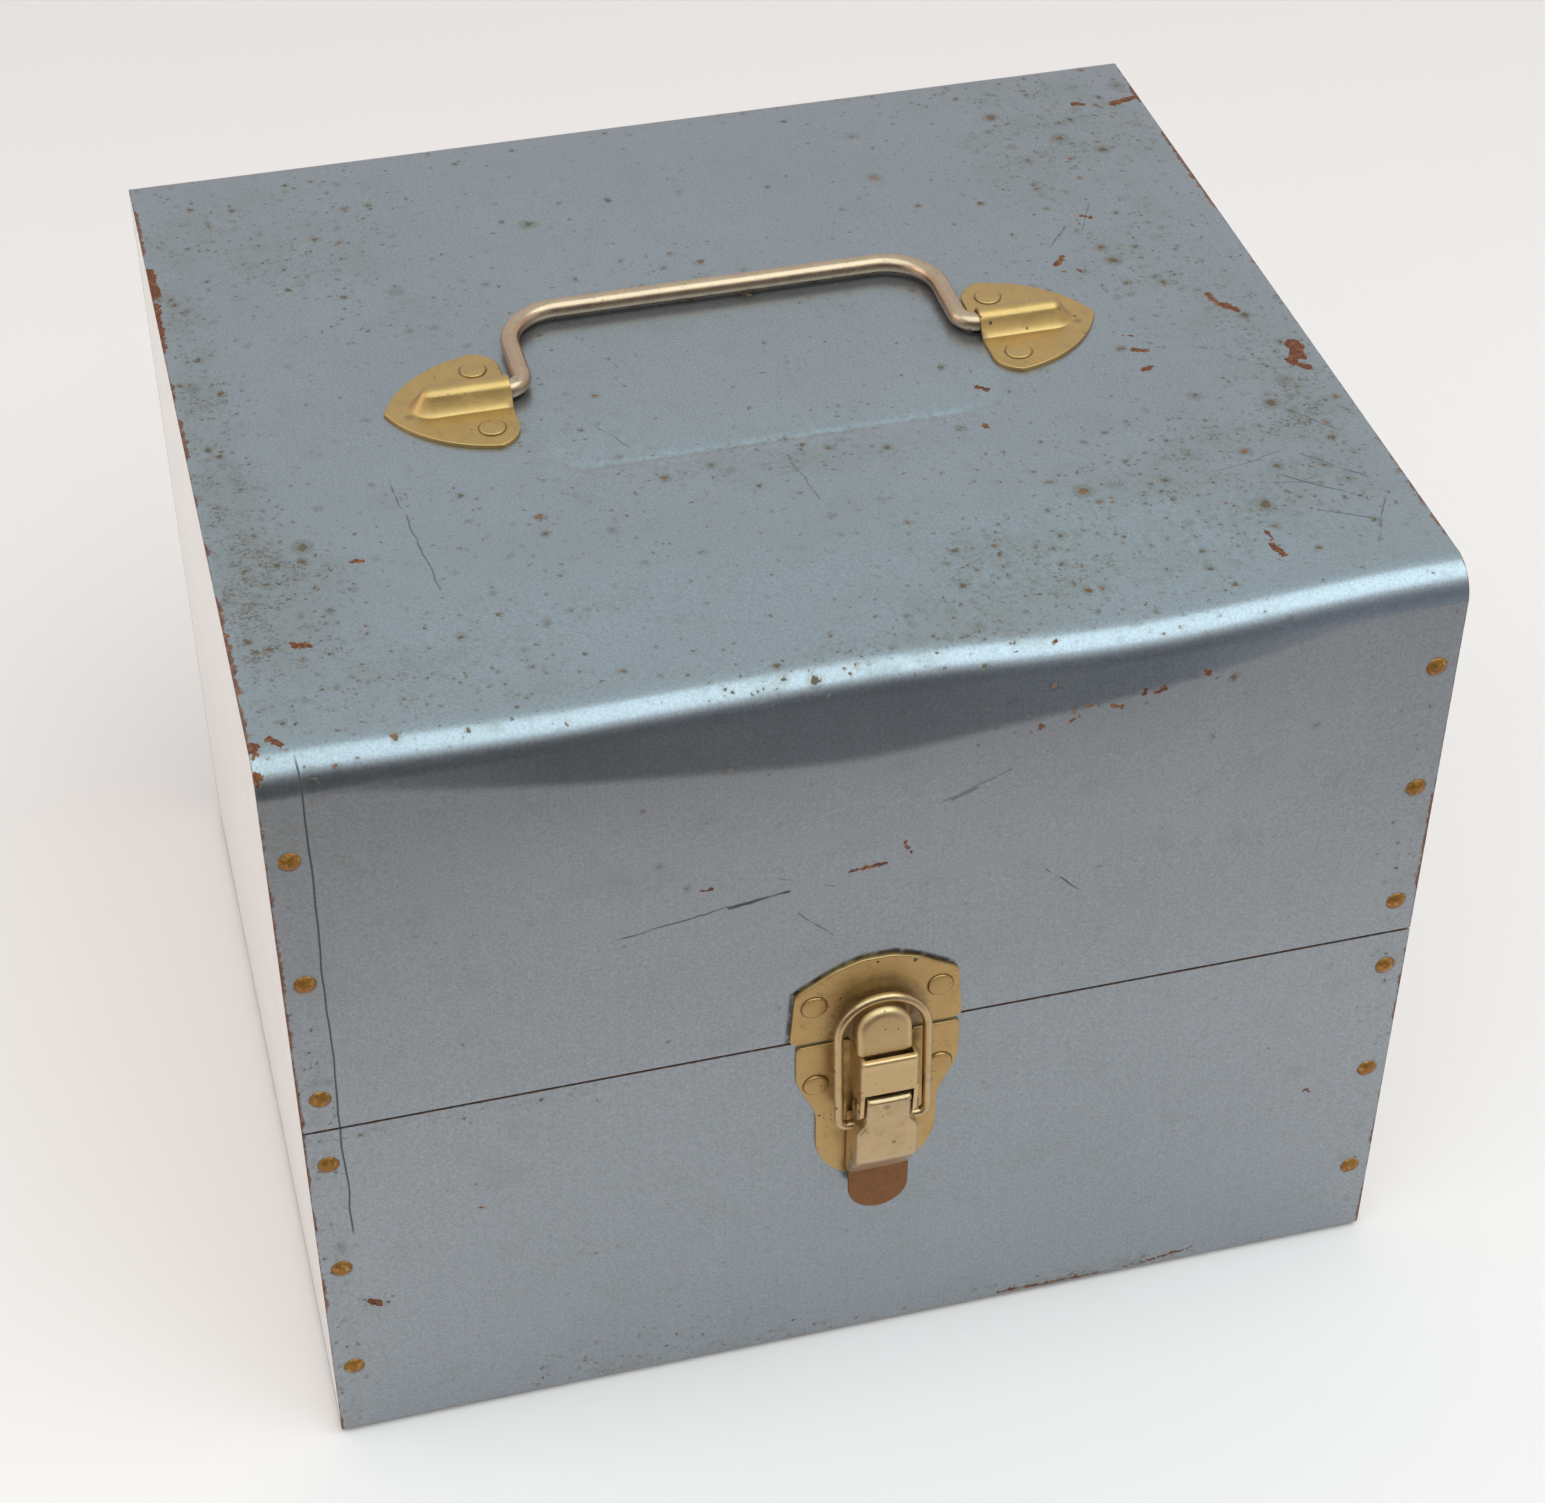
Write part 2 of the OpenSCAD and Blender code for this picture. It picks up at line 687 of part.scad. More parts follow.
// Sheet-metal channel: a narrow neck between the bracket's ears, wider below them
module latch_lever() {
  color(brass_gold) at_latch() difference() {
    union() {
      difference() {
        latch_side(lever_neck_w) intersection() {
          lever_side();
          lever_band(0, lever_shoulder + eps);
        }
        latch_side(lever_neck_w - 2 * lever_t) lever_hollow();
      }
      difference() {
        latch_side(lever_w) intersection() {
          lever_side();
          lever_band(lever_shoulder, 2 * lever_foot);
        }
        latch_side(lever_w - 2 * lever_t) lever_hollow();
      }
      latch_front(lever_foot_out - tab_t, lever_foot_out) {
        translate([-tab_w / 2, -lever_foot - tab_len + tab_w / 2]) square([tab_w, tab_len - tab_w / 2]);
        translate([0, -lever_foot - tab_len + tab_w / 2]) circle(tab_w / 2);
      }
    }
    lever_pin_bore(turn_fit);
    translate([0, -loop_pin_out, loop_pin_z]) rotate([0, 90, 0])
      cylinder(r = loop_wire_r + turn_fit, h = 2 * lever_w, center = true);
  }
}

// Wire loop: half-round top, straight arms, ends turned in through the lever's sides
module latch_loop() {
  arm_x = loop_w / 2;
  arch_z = loop_len - arm_x;
  color(wire_gold) at_latch() translate([0, -loop_pin_out, loop_pin_z]) rotate([-loop_tilt, 0, 0]) {
    translate([0, 0, arch_z]) rotate([90, 0, 0])
      rotate_extrude(angle = 180) translate([arm_x, 0]) circle(loop_wire_r);
    both_sides() {
      translate([arm_x, 0, loop_bend_r]) cylinder(r = loop_wire_r, h = arch_z - loop_bend_r);
      translate([arm_x - loop_bend_r, 0, loop_bend_r]) rotate([90, 90, 0])
        wire_bend(loop_bend_r, loop_wire_r);
      translate([loop_pin_end, 0, 0]) rotate([0, 90, 0])
        cylinder(r = loop_wire_r, h = arm_x - loop_bend_r - loop_pin_end);
    }
  }
}

// ---------- hinges ----------

// Places of the rivets in the leaves above the seam (side 1) or below it (side -1)
module hinge_rivet_places(side) {
  for (x = [-hinge_x, hinge_x]) for (p = hinge_rivets)
    translate([x + p[0], back_y, base_h + side * p[1]]) rotate([-90, 0, 0]) children();
}

module at_hinges() {
  for (x = [-hinge_x, hinge_x]) translate([x, hinge_y, base_h]) children();
}

module hinge_tube(r, x0, x1) {
  translate([x0, 0, 0]) rotate([0, 90, 0]) cylinder(r = r, h = x1 - x0);
}

// One leaf above the seam (side 1) or below it (side -1), with its knuckles
module hinge_leaf(side, own, others) {
  leaf_y = back_y - hinge_y;
  leaf_z = side > 0 ? seam_gap : -hinge_leaf_h;
  difference() {
    union() {
      translate([-hinge_w / 2, leaf_y, leaf_z]) cube([hinge_w, hinge_t, hinge_leaf_h - seam_gap]);
      for (k = own) {
        hinge_tube(knuckle_r, k[0], k[1]);
        translate([k[0], leaf_y, side > 0 ? seam_gap : -knuckle_r])
          cube([k[1] - k[0], -leaf_y, knuckle_r - seam_gap]);
      }
    }
    for (k = others) hinge_tube(knuckle_r + move_gap, k[0] - move_gap, k[1] + move_gap);
    hinge_tube(hinge_pin_r + turn_fit, -hinge_w, hinge_w);
  }
}

outer_knuckles = [[-hinge_w / 2, -hinge_knuckle / 2], [hinge_knuckle / 2, hinge_w / 2]];
inner_knuckle = [[-hinge_knuckle / 2 + move_gap, hinge_knuckle / 2 - move_gap]];

module hinge_base_leaves() {
  color(brass_gold) difference() {
    at_hinges() hinge_leaf(-1, outer_knuckles, inner_knuckle);
    hinge_rivet_places(-1) rivet_hole();
  }
}

module hinge_lid_leaves() {
  color(brass_gold) difference() {
    at_hinges() hinge_leaf(1, inner_knuckle, outer_knuckles);
    hinge_rivet_places(1) rivet_hole();
  }
}

module hinge_pins() {
  color(brass_gold) at_hinges() {
    hinge_tube(hinge_pin_r, -hinge_w / 2, hinge_w / 2);
    both_sides() hinge_tube(hinge_pin_head_r, hinge_w / 2, hinge_w / 2 + hinge_pin_head_h);
  }
}

module hinge_rivet() {
  translate([0, 0, hinge_t])
    dome_pin(hinge_rivet_head_r, rivet_head_h, rivet_shank_r, hinge_t + sheet_t, rivet_tail_r, rivet_tail_h);
}

module hinge_base_rivets() { color(brass_gold) hinge_rivet_places(-1) hinge_rivet(); }
module hinge_lid_rivets() { color(brass_gold) hinge_rivet_places(1) hinge_rivet(); }

// ---------- tray rails ----------

module rail_screw_places() {
  gap = (rail_len - 2 * rail_screw_in) / (rail_screw_count - 1);
  for (i = [0 : rail_screw_count - 1])
    translate([inner_x - rail_w, -rail_len / 2 + rail_screw_in + i * gap, rail_top - rail_h / 2])
      rotate([0, -90, 0]) children();
}

module rail() {
  color(pine) difference() {
    translate([inner_x - rail_w, -rail_len / 2, rail_top - rail_h]) cube([rail_w, rail_len, rail_h]);
    rail_screw_places() translate([0, 0, -rail_w - eps])
      cylinder(r = rail_screw_r + hold_fit, h = rail_w + 2 * eps);
  }
}

module rail_right() { rail(); }
module rail_left() { mirror([1, 0, 0]) rail(); }

module rail_screws() {
  color(nail_brass) both_sides() rail_screw_places()
    dome_pin(screw_head_r, rivet_head_h, rail_screw_r, rail_screw_len);
}

// ---------- trays ----------

// Sheet trough: front, floor and back in one piece
module tray_pan(d, h) {
  color(tray_grey) difference() {
    across(-tray_w / 2, tray_w / 2) difference() {
      rounded_rect(-d / 2, d / 2, 0, h, low = [tray_bend_r, tray_bend_r]);
      rounded_rect(-d / 2 + tray_sheet_t, d / 2 - tray_sheet_t, tray_sheet_t, h + eps,
                   low = [tray_bend_r - tray_sheet_t, tray_bend_r - tray_sheet_t]);
    }
    tray_nail_places(d, h) tray_nail_hole();
  }
}

module tray_end(d, h) {
  r = tray_bend_r - tray_sheet_t + move_gap;
  color(pine) difference() {
    across(tray_w / 2 - tray_end_t, tray_w / 2)
      rounded_rect(-d / 2 + tray_sheet_t, d / 2 - tray_sheet_t, tray_sheet_t, h, low = [r, r]);
    tray_nail_places(d, h) tray_nail_hole();
  }
}

module tray_nail_places(d, h) {
  both_sides() both_faces() for (z = [h / 4, 3 * h / 4])
    translate([(tray_w - tray_end_t) / 2, -d / 2, z]) face_front() children();
}

module tray_nail_hole() {
  translate([0, 0, -tray_nail_len - eps])
    cylinder(r = tray_nail_r + hold_fit, h = tray_nail_len + 2 * eps);
}

module tray_nails(d, h) {
  color(nail_brass) tray_nail_places(d, h)
    dome_pin(tray_nail_head_r, tray_nail_head_h, tray_nail_r, tray_nail_len);
}

module at_lower_tray() { translate([0, 0, lower_tray_z]) children(); }
module at_upper_tray() { translate([0, upper_tray_y, upper_tray_z]) children(); }

module lower_tray_pan() { at_lower_tray() tray_pan(tray_d, lower_tray_h); }
module lower_tray_end_right() { at_lower_tray() tray_end(tray_d, lower_tray_h); }
module lower_tray_end_left() { at_lower_tray() mirror([1, 0, 0]) tray_end(tray_d, lower_tray_h); }
module lower_tray_nails() { at_lower_tray() tray_nails(tray_d, lower_tray_h); }

divider_h = lower_tray_h - tray_sheet_t - divider_low;
tray_inner_w = tray_w - 2 * tray_end_t;
tray_inner_d = tray_d - 2 * tray_sheet_t;

// Divider along the tray, between its two ends
module lower_tray_long_divider() {
  color(pine) at_lower_tray() translate([-tray_inner_w / 2, -divider_t / 2, tray_sheet_t])
    cube([tray_inner_w, divider_t, divider_h]);
}

// Front half has two cross dividers, the back half has one
module lower_tray_cross_dividers() {
  color(pine) at_lower_tray() {
    cross_divider(0);
    mirror([0, 1, 0]) for (x = [-tray_inner_w / 6, tray_inner_w / 6]) cross_divider(x);
  }
}

// From the long divider to the back sheet, its foot rounded to clear the tray's bend
module cross_divider(x) {
  translate([x, 0, 0]) across(-divider_t / 2, divider_t / 2)
    rounded_rect(divider_t / 2, tray_inner_d / 2, tray_sheet_t, tray_sheet_t + divider_h,
                 low = [0, tray_bend_r - tray_sheet_t + move_gap]);
}

module upper_tray_pan() {
  color(tray_grey) difference() {
    at_upper_tray() tray_pan(upper_tray_d, upper_tray_h);
    peg_places() translate([0, 0, -tray_sheet_t - eps])
      cylinder(r = peg_r + hold_fit, h = tray_sheet_t + 2 * eps);
  }
}

module upper_tray_end_right() { at_upper_tray() tray_end(upper_tray_d, upper_tray_h); }
module upper_tray_end_left() { at_upper_tray() mirror([1, 0, 0]) tray_end(upper_tray_d, upper_tray_h); }
module upper_tray_nails() { at_upper_tray() tray_nails(upper_tray_d, upper_tray_h); }

// Two rows of pegs for spools of thread, on the upper tray's floor
module peg_places() {
  step = tray_inner_w / peg_count;
  at_upper_tray() for (i = [0 : peg_count - 1]) for (y = [-upper_tray_d / 4, upper_tray_d / 4])
    translate([-tray_inner_w / 2 + (i + 0.5) * step, y, tray_sheet_t]) children();
}

// A peg stands on a shoulder and its foot goes through the floor
module spool_pegs() {
  color(pine) peg_places() {
    cylinder(r = peg_shoulder_r, h = peg_shoulder_h);
    translate([0, 0, -tray_sheet_t]) cylinder(r = peg_r, h = tray_sheet_t + peg_h - peg_r);
    translate([0, 0, peg_h - peg_r]) sphere(peg_r);
  }
}

base_shell();
base_end_left();
base_end_right();
base_nails();
lid_shell();
lid_end_left();
lid_end_right();
lid_nails();
handle_plate_left();
handle_plate_right();
handle_rivets();
handle_bail();
catch_plate();
catch_rivets();
latch_base();
latch_base_rivets();
lever_pin();
latch_lever();
latch_loop();
hinge_base_leaves();
hinge_lid_leaves();
hinge_pins();
hinge_base_rivets();
hinge_lid_rivets();
rail_left();
rail_right();
rail_screws();
lower_tray_pan();
lower_tray_end_left();
lower_tray_end_right();
lower_tray_long_divider();
lower_tray_cross_dividers();
lower_tray_nails();
upper_tray_pan();
upper_tray_end_left();
upper_tray_end_right();
upper_tray_nails();
spool_pegs();
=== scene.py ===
"""Finished looks of a sheet-metal sewing box, built round its CAD frame.

Sheets, wooden ends, nails, handle, draw latch, hinges and trays are surfaces worked
out with numpy. Every finish is a node material. Lengths are millimetres unless said.
"""

import functools
import math
import operator

import bmesh
import bpy
import numpy as np
from mathutils import Matrix, Vector


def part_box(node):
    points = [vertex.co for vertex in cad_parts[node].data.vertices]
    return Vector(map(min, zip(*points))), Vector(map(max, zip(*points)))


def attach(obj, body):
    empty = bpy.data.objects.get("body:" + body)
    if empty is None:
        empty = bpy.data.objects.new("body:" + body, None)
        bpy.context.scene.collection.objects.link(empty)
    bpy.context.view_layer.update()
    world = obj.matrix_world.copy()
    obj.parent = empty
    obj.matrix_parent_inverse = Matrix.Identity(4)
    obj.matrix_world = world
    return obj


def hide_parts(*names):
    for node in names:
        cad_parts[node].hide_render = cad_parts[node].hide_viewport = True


bl_info = {
    "name": "Sewing box",
    "version": (1, 0, 0),
    "blender": (4, 5, 0),
    "location": "3D View > Sidebar > Sewing box",
    "description": "Builds the finished pieces of a sheet-metal sewing box round its CAD frame",
    "category": "Add Mesh",
}

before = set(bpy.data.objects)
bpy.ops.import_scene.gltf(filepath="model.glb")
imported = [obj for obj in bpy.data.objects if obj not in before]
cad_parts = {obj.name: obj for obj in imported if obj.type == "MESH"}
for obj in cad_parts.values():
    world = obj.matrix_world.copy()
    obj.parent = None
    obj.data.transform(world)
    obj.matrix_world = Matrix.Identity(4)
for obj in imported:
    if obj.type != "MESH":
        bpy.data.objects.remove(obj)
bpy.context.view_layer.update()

# A millimetre and the widest gap between points that are joined, both in metres
MM, WELD = 0.001, 2e-6
# Start of the random draws, and how much a nail or rivet head leans
SEED, HEAD_LEAN = 11, 0.01


# ---------- places from the CAD frame ----------

def cad_box(node):
    """Lowest and highest corner of a CAD node, in millimetres."""
    low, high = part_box(node)
    return np.array(low) / MM, np.array(high) / MM


BASE_LOW, BASE_HIGH = cad_box("base_shell")
SEAM = float(BASE_HIGH[2])
TOP = float(cad_box("lid_shell")[1][2])
FRONT, BACK = float(BASE_LOW[1]), float(BASE_HIGH[1])
SIDE = float(BASE_HIGH[0])
SHEET = TOP - float(cad_box("lid_end_left")[1][2])
NAILS_LOW, NAILS_HIGH = cad_box("lid_nails")
NAIL_X = float(cad_box("lid_end_right")[0][0] + SIDE) / 2
NAIL_R = float(NAILS_HIGH[0]) - NAIL_X
NAIL_H = FRONT - float(NAILS_LOW[1])
NAIL_COUNT = 3


def nail_heights(node):
    """Heights of the three nails of a column, from the node's lowest and highest point."""
    low, high = cad_box(node)
    return np.linspace(low[2] + NAIL_R, high[2] - NAIL_R, NAIL_COUNT)


# ---------- number helpers ----------

def ease(t):
    """Smooth step: 3 t squared less 2 t cubed, with t held between 0 and 1."""
    t = np.clip(t, 0, 1)
    return t * t * (3 - 2 * t)


def bell(t):
    """Bell curve: e to the power of minus t squared."""
    return np.exp(-t * t)


def unit(v):
    """Vectors along the last axis, each divided by its length."""
    return v / np.maximum(np.linalg.norm(v, axis=-1, keepdims=True), 1e-12)


def ripples(u, v, seed, waves, shortest, longest):
    """Mean of cosine waves of random direction, length and start, so it lies between -1 and 1."""
    rng = np.random.default_rng(seed)
    total = 0.0
    for _ in range(waves):
        length, angle, start = rng.uniform(shortest, longest), rng.uniform(0, np.pi), rng.uniform(0, 6.28)
        total = total + np.cos((u * np.cos(angle) + v * np.sin(angle)) * 2 * np.pi / length + start)
    return total / waves


def even_line(line, count, closed=False):
    """The line cut into equal steps along its own length."""
    if closed:
        line = np.vstack([line, line[:1]])
    along = np.concatenate([[0], np.cumsum(np.linalg.norm(np.diff(line, axis=0), axis=1))])
    at = np.linspace(0, along[-1], count + 1 if closed else count)
    made = np.stack([np.interp(at, along, line[:, k]) for k in range(line.shape[1])], -1)
    return made[:-1] if closed else made


def bent_line(corners, radii, steps=14):
    """Straight runs joined by arcs. A corner is cut back by r tan(turn / 2) both ways; the arc swings
    about its centre from one cut to the other, by the sines of the two parts of the turn."""
    corners = np.array(corners, float)
    before, after = unit(corners[1:-1] - corners[:-2]), unit(corners[2:] - corners[1:-1])
    turns = np.arccos(np.clip((before * after).sum(1), -1, 1))
    line = [corners[:1]]
    t = np.linspace(0, 1, steps)[:, None]
    for corner, a, b, turn, r in zip(corners[1:-1], before, after, turns, radii):
        cut = r * math.tan(turn / 2)
        centre = corner + unit(b - a) * r / math.cos(turn / 2)
        first, last = corner - a * cut - centre, corner + b * cut - centre
        line.append(centre + (np.sin((1 - t) * turn) * first + np.sin(t * turn) * last) / math.sin(turn))
    return np.vstack(line + [corners[-1:]])


# ---------- skins: points and faces ----------

class Skin:
    """Points and faces of one piece, gathered from grids, with a coat number per face."""

    def __init__(self):
        self.points, self.faces, self.coats, self.rust, self.count = [], [], [], [], 0

    def grid(self, p, coat=0, wrap=False, rust=None):
        """Joins the neighbours of a rows x columns grid with quads; wrap joins last column to first."""
        rows, columns = p.shape[:2]
        index = self.count + np.arange(rows * columns).reshape(rows, columns)
        if wrap:
            index = np.hstack([index, index[:, :1]])
        quads = np.stack([index[:-1, :-1], index[:-1, 1:], index[1:, 1:], index[1:, :-1]], -1)
        self.faces.append(quads.reshape(-1, 4))
        self.coats.append(np.full(len(self.faces[-1]), coat))
        self.points.append(p.reshape(-1, 3))
        self.rust.append(np.zeros(rows * columns) if rust is None else rust.reshape(-1))
        self.count += rows * columns
        return self

    def sheet(self, outside, inside, rim_coat=0, wrap=False, rust=None):
        """Thin sheet: an outside and an inside grid joined round their borders."""
        self.grid(outside, wrap=wrap, rust=rust)
        self.grid(inside, wrap=wrap)
        borders = [(outside[0], inside[0]), (outside[-1], inside[-1])]
        if not wrap:
            borders += [(outside[:, 0], inside[:, 0]), (outside[:, -1], inside[:, -1])]
        for pair in borders:
            self.grid(np.stack(pair), rim_coat, wrap and len(pair[0]) == outside.shape[1])
        return self


def make_piece(name, skin, coats, body, stands_for=(), crease=38.0):
    """Mesh of a skin: welded, normals outwards, smooth but for creases, riding on its body."""
    mesh = bpy.data.meshes.new(name)
    mesh.from_pydata((np.concatenate(skin.points) * MM).tolist(), [], np.concatenate(skin.faces).tolist())
    mesh.polygons.foreach_set("material_index", np.concatenate(skin.coats).astype(np.int32))
    mark = mesh.attributes.new("rust", "FLOAT", "POINT")
    mark.data.foreach_set("value", np.concatenate(skin.rust).astype(np.float32))
    form = bmesh.new()
    form.from_mesh(mesh)
    bmesh.ops.remove_doubles(form, verts=form.verts, dist=WELD)
    bmesh.ops.recalc_face_normals(form, faces=form.faces)
    form.to_mesh(mesh)
    form.free()
    mesh.shade_smooth()
    mesh.set_sharp_from_angle(angle=math.radians(crease))
    for coat in coats:
        mesh.materials.append(coat)
    piece = bpy.data.objects.new(name, mesh)
    bpy.context.scene.collection.objects.link(piece)
    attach(piece, body)
    if stands_for:
        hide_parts(*stands_for)
    return piece


# ---------- shapes ----------

def turned(outline, sides=40):
    """Outline of (radius, height) turned round the Z axis: x = r cos a, y = r sin a, z = height."""
    a = np.linspace(0, 2 * np.pi, sides, endpoint=False)
    r, h = np.array(outline, float).T[:, :, None]
    return np.stack([r * np.cos(a), r * np.sin(a), h + 0 * a], -1)


def dome_outline(radius, height, sink, rows=8):
    """Side of a domed head: a cap of the given radius and height on a short straight foot."""
    cap = (radius ** 2 + height ** 2) / (2 * height)
    r = np.linspace(0, 1, rows) ** 0.8 * radius
    top = [(x, height - cap + math.sqrt(cap * cap - x * x)) for x in r]
    return top + [(radius, -sink), (0, -sink)]


def disc_outline(radius, height, edge, sink):
    """Side of a nearly flat rivet head: slightly crowned face, quarter-round edge, short foot."""
    q = np.linspace(0, np.pi / 2, 6)
    face = [(radius * f, height + 0.12 * (1 - (f * radius / (radius - edge)) ** 2))
            for f in np.linspace(0, (radius - edge) / radius, 6)]
    rim = [(radius - edge + edge * math.sin(a), height - edge + edge * math.cos(a)) for a in q[1:]]
    return face + rim + [(radius, -sink), (0, -sink)]


def turned_pin(cap, at):
    """Pin along X, centred on a point, from the (radius, height) outline of one of its two like ends."""
    return facing(turned(cap + [(r, -h) for r, h in cap[::-1]], 28), at, "right")


def facing(p, at, way):
    """Moves a shape made round Z so that its Z points out of the front, back, top, left or right."""
    x, y, z = p[..., 0], p[..., 1], p[..., 2]
    turned_to = {"front": (x, -z, y), "back": (-x, z, y), "top": (x, y, z),
                 "right": (z, x, y), "left": (-z, -x, y)}[way]
    return np.stack(turned_to, -1) + np.array(at, float)


def tilted(p, rng, amount):
    """Leans a shape made round Z by small random angles about X and Y."""
    a, b = rng.normal(0, amount, 2)
    x, y, z = p[..., 0], p[..., 1], p[..., 2]
    return np.stack([x + b * z, y + a * z, z - b * x - a * y], -1)


def heads(places, way, outline, sides, rng, skin=None):
    """Skin of turned heads that face one way at the given places, each leaning by a small random angle."""
    skin = skin or Skin()
    for at in places:
        skin.grid(facing(tilted(turned(outline, sides), rng, HEAD_LEAN), at, way), wrap=True)
    return skin


def both_hands(x, *rest, shift=0.0):
    """The same place or mark on the left and on the right."""
    return [(-x + shift, *rest), (x + shift, *rest)]


def tube(line, radius, across, sides=24):
    """Circle carried along a flat line: its two arms are across and across x heading.
    Both ends are closed by circles that shrink along a quarter round."""
    heading = unit(np.gradient(line, axis=0))
    q = np.linspace(np.pi / 2, 0, 6)[:-1, None]
    start = line[0] - heading[0] * radius * 0.6 * np.sin(q)
    end = (line[-1] + heading[-1] * radius * 0.6 * np.sin(q))[::-1]
    shrink = radius * np.cos(q[:, 0])
    centres = np.vstack([start, line, end])
    radii = np.concatenate([shrink, np.full(len(line), radius), shrink[::-1]])
    heading = np.vstack([np.repeat(heading[:1], 5, 0), heading, np.repeat(heading[-1:], 5, 0)])
    across = np.broadcast_to(unit(np.array(across, float)), heading.shape)
    side = unit(np.cross(across, heading))
    a = np.linspace(0, 2 * np.pi, sides, endpoint=False)[None, :, None]
    return centres[:, None] + radii[:, None, None] * (np.cos(a) * side[:, None] + np.sin(a) * across[:, None])


def rounded_outline(low, high, radii, inset, steps=6):
    """Rectangle with four rounded corners, drawn inset from its own edge.
    A corner point is its centre plus (radius - inset) times the sine and cosine."""
    a = np.linspace(0, np.pi / 2, steps)
    corners = [(low[0], low[1], 1, 1, np.pi), (high[0], low[1], -1, 1, 1.5 * np.pi),
               (high[0], high[1], -1, -1, 0), (low[0], high[1], 1, -1, 0.5 * np.pi)]
    parts = []
    for (x, y, sx, sy, turn), r in zip(corners, radii):
        left = np.maximum(r - inset, 0)[:, None]
        parts.append(np.stack([x + sx * r + left * np.cos(turn + a),
                               y + sy * r + left * np.sin(turn + a)], -1))
    return np.concatenate(parts, 1)


def eased_block(low, high, edge=0.5, radii=None, axis=0, support=0.6):
    """Block with rounded long edges and eased ends: the rounded outline is carried along one axis and
    drawn inset near both ends, by edge (1 - sin), while it moves on by edge (1 - cos)."""
    low, high = np.array(low, float), np.array(high, float)
    others = [k for k in range(3) if k != axis]
    radii = radii or [edge] * 4
    q = np.linspace(0, np.pi / 2, 5)
    inset = np.concatenate([[edge + support], edge * (1 - np.sin(q)), [0]])
    move = np.concatenate([[0], edge * (1 - np.cos(q)), [edge + support]])
    length = high[axis] - low[axis]
    places = np.concatenate([low[axis] + move, low[axis] + length - move[::-1]])
    insets = np.concatenate([inset, inset[::-1]])
    corner = np.maximum(np.array(radii), edge + support + 0.05)
    loop = rounded_outline(low[others], high[others], corner, insets)
    middle = np.broadcast_to((low[others] + high[others]) / 2, loop[:1].shape)
    loop = np.concatenate([middle, loop, middle])
    places = np.concatenate([places[:1], places, places[-1:]])
    block = np.zeros(loop.shape[:2] + (3,))
    block[..., others] = loop
    block[..., axis] = places[:, None]
    return block


def pressed_plate(outline, centre, level, thickness, edge, rings=36):
    """Pressed sheet plate over a closed outline. Rings run from the rim in to the centre; near the rim
    the upper face rolls off in a quarter round. The underside lies one thickness below the upper face,
    measured square to its slope, and nowhere below 0. Returns both faces as (a, b, out) grids."""
    centre = np.array(centre, float)
    arm = outline - centre
    reach = np.linalg.norm(arm, axis=1)
    q = np.linspace(0, np.pi / 2, 5)
    inset = np.concatenate([edge * (1 - np.cos(q)), [edge + 0.35]])
    drop = np.concatenate([edge * (1 - np.sin(q)), [0]])
    share = 1 - inset[:, None] / reach
    inner = share[-1] * (1 - np.linspace(0, 1, rings)[1:, None])
    share = np.vstack([share, inner])
    drop = np.concatenate([drop, np.zeros(rings - 1)])[:, None]
    flat = centre + share[..., None] * arm
    a, b = flat[..., 0], flat[..., 1]
    h = 0.02
    slope = np.hypot(level(a + h, b) - level(a - h, b), level(a, b + h) - level(a, b - h)) / (2 * h)
    upper = level(a, b)
    under = np.maximum(upper - thickness * np.sqrt(1 + slope ** 2), 0)
    return (np.stack([a, b, upper - drop], -1), np.stack([a, b, under], -1))


def make_board(name, node, coat, body, edge, radii=None, axis=0):
    """Piece that is one eased block as large as a CAD node's box."""
    block = eased_block(*cad_box(node), edge, radii, axis)
    return make_piece(name, Skin().grid(block, wrap=True), [coat], body, [node])


def on_front(p, shift=0.0):
    """(across, up from the seam, out) carried to the front of the box."""
    return np.stack([p[..., 0] + shift, FRONT - p[..., 2], SEAM + p[..., 1]], -1)


def on_back(p):
    """(across, up from the seam, out) carried to the back of the box."""
    return np.stack([p[..., 0], BACK + p[..., 2], SEAM + p[..., 1]], -1)


def on_lid(p):
    """(across, back, up) carried to the top of the lid."""
    return np.stack([p[..., 0], p[..., 1], TOP + p[..., 2]], -1)


# ---------- node materials ----------

class Value:
    """A node's output that can stand in sums: each operator adds one Math node."""

    def __init__(self, nodes, socket):
        self.nodes, self.socket = nodes, socket

    def output(self, name):
        """Another output of the same node."""
        return Value(self.nodes, self.socket.node.outputs[name])

    def __abs__(self):
        return self.nodes.math("ABSOLUTE", self)


OPERATORS_USED = {"add": "ADD", "sub": "SUBTRACT", "mul": "MULTIPLY", "pow": "POWER", "or": "MAXIMUM"}
for sign, operation in OPERATORS_USED.items():
    setattr(Value, f"__{sign}__", lambda one, other, kind=operation: one.nodes.math(kind, one, other))
    setattr(Value, f"__r{sign}__", lambda one, other, kind=operation: one.nodes.math(kind, other, one))


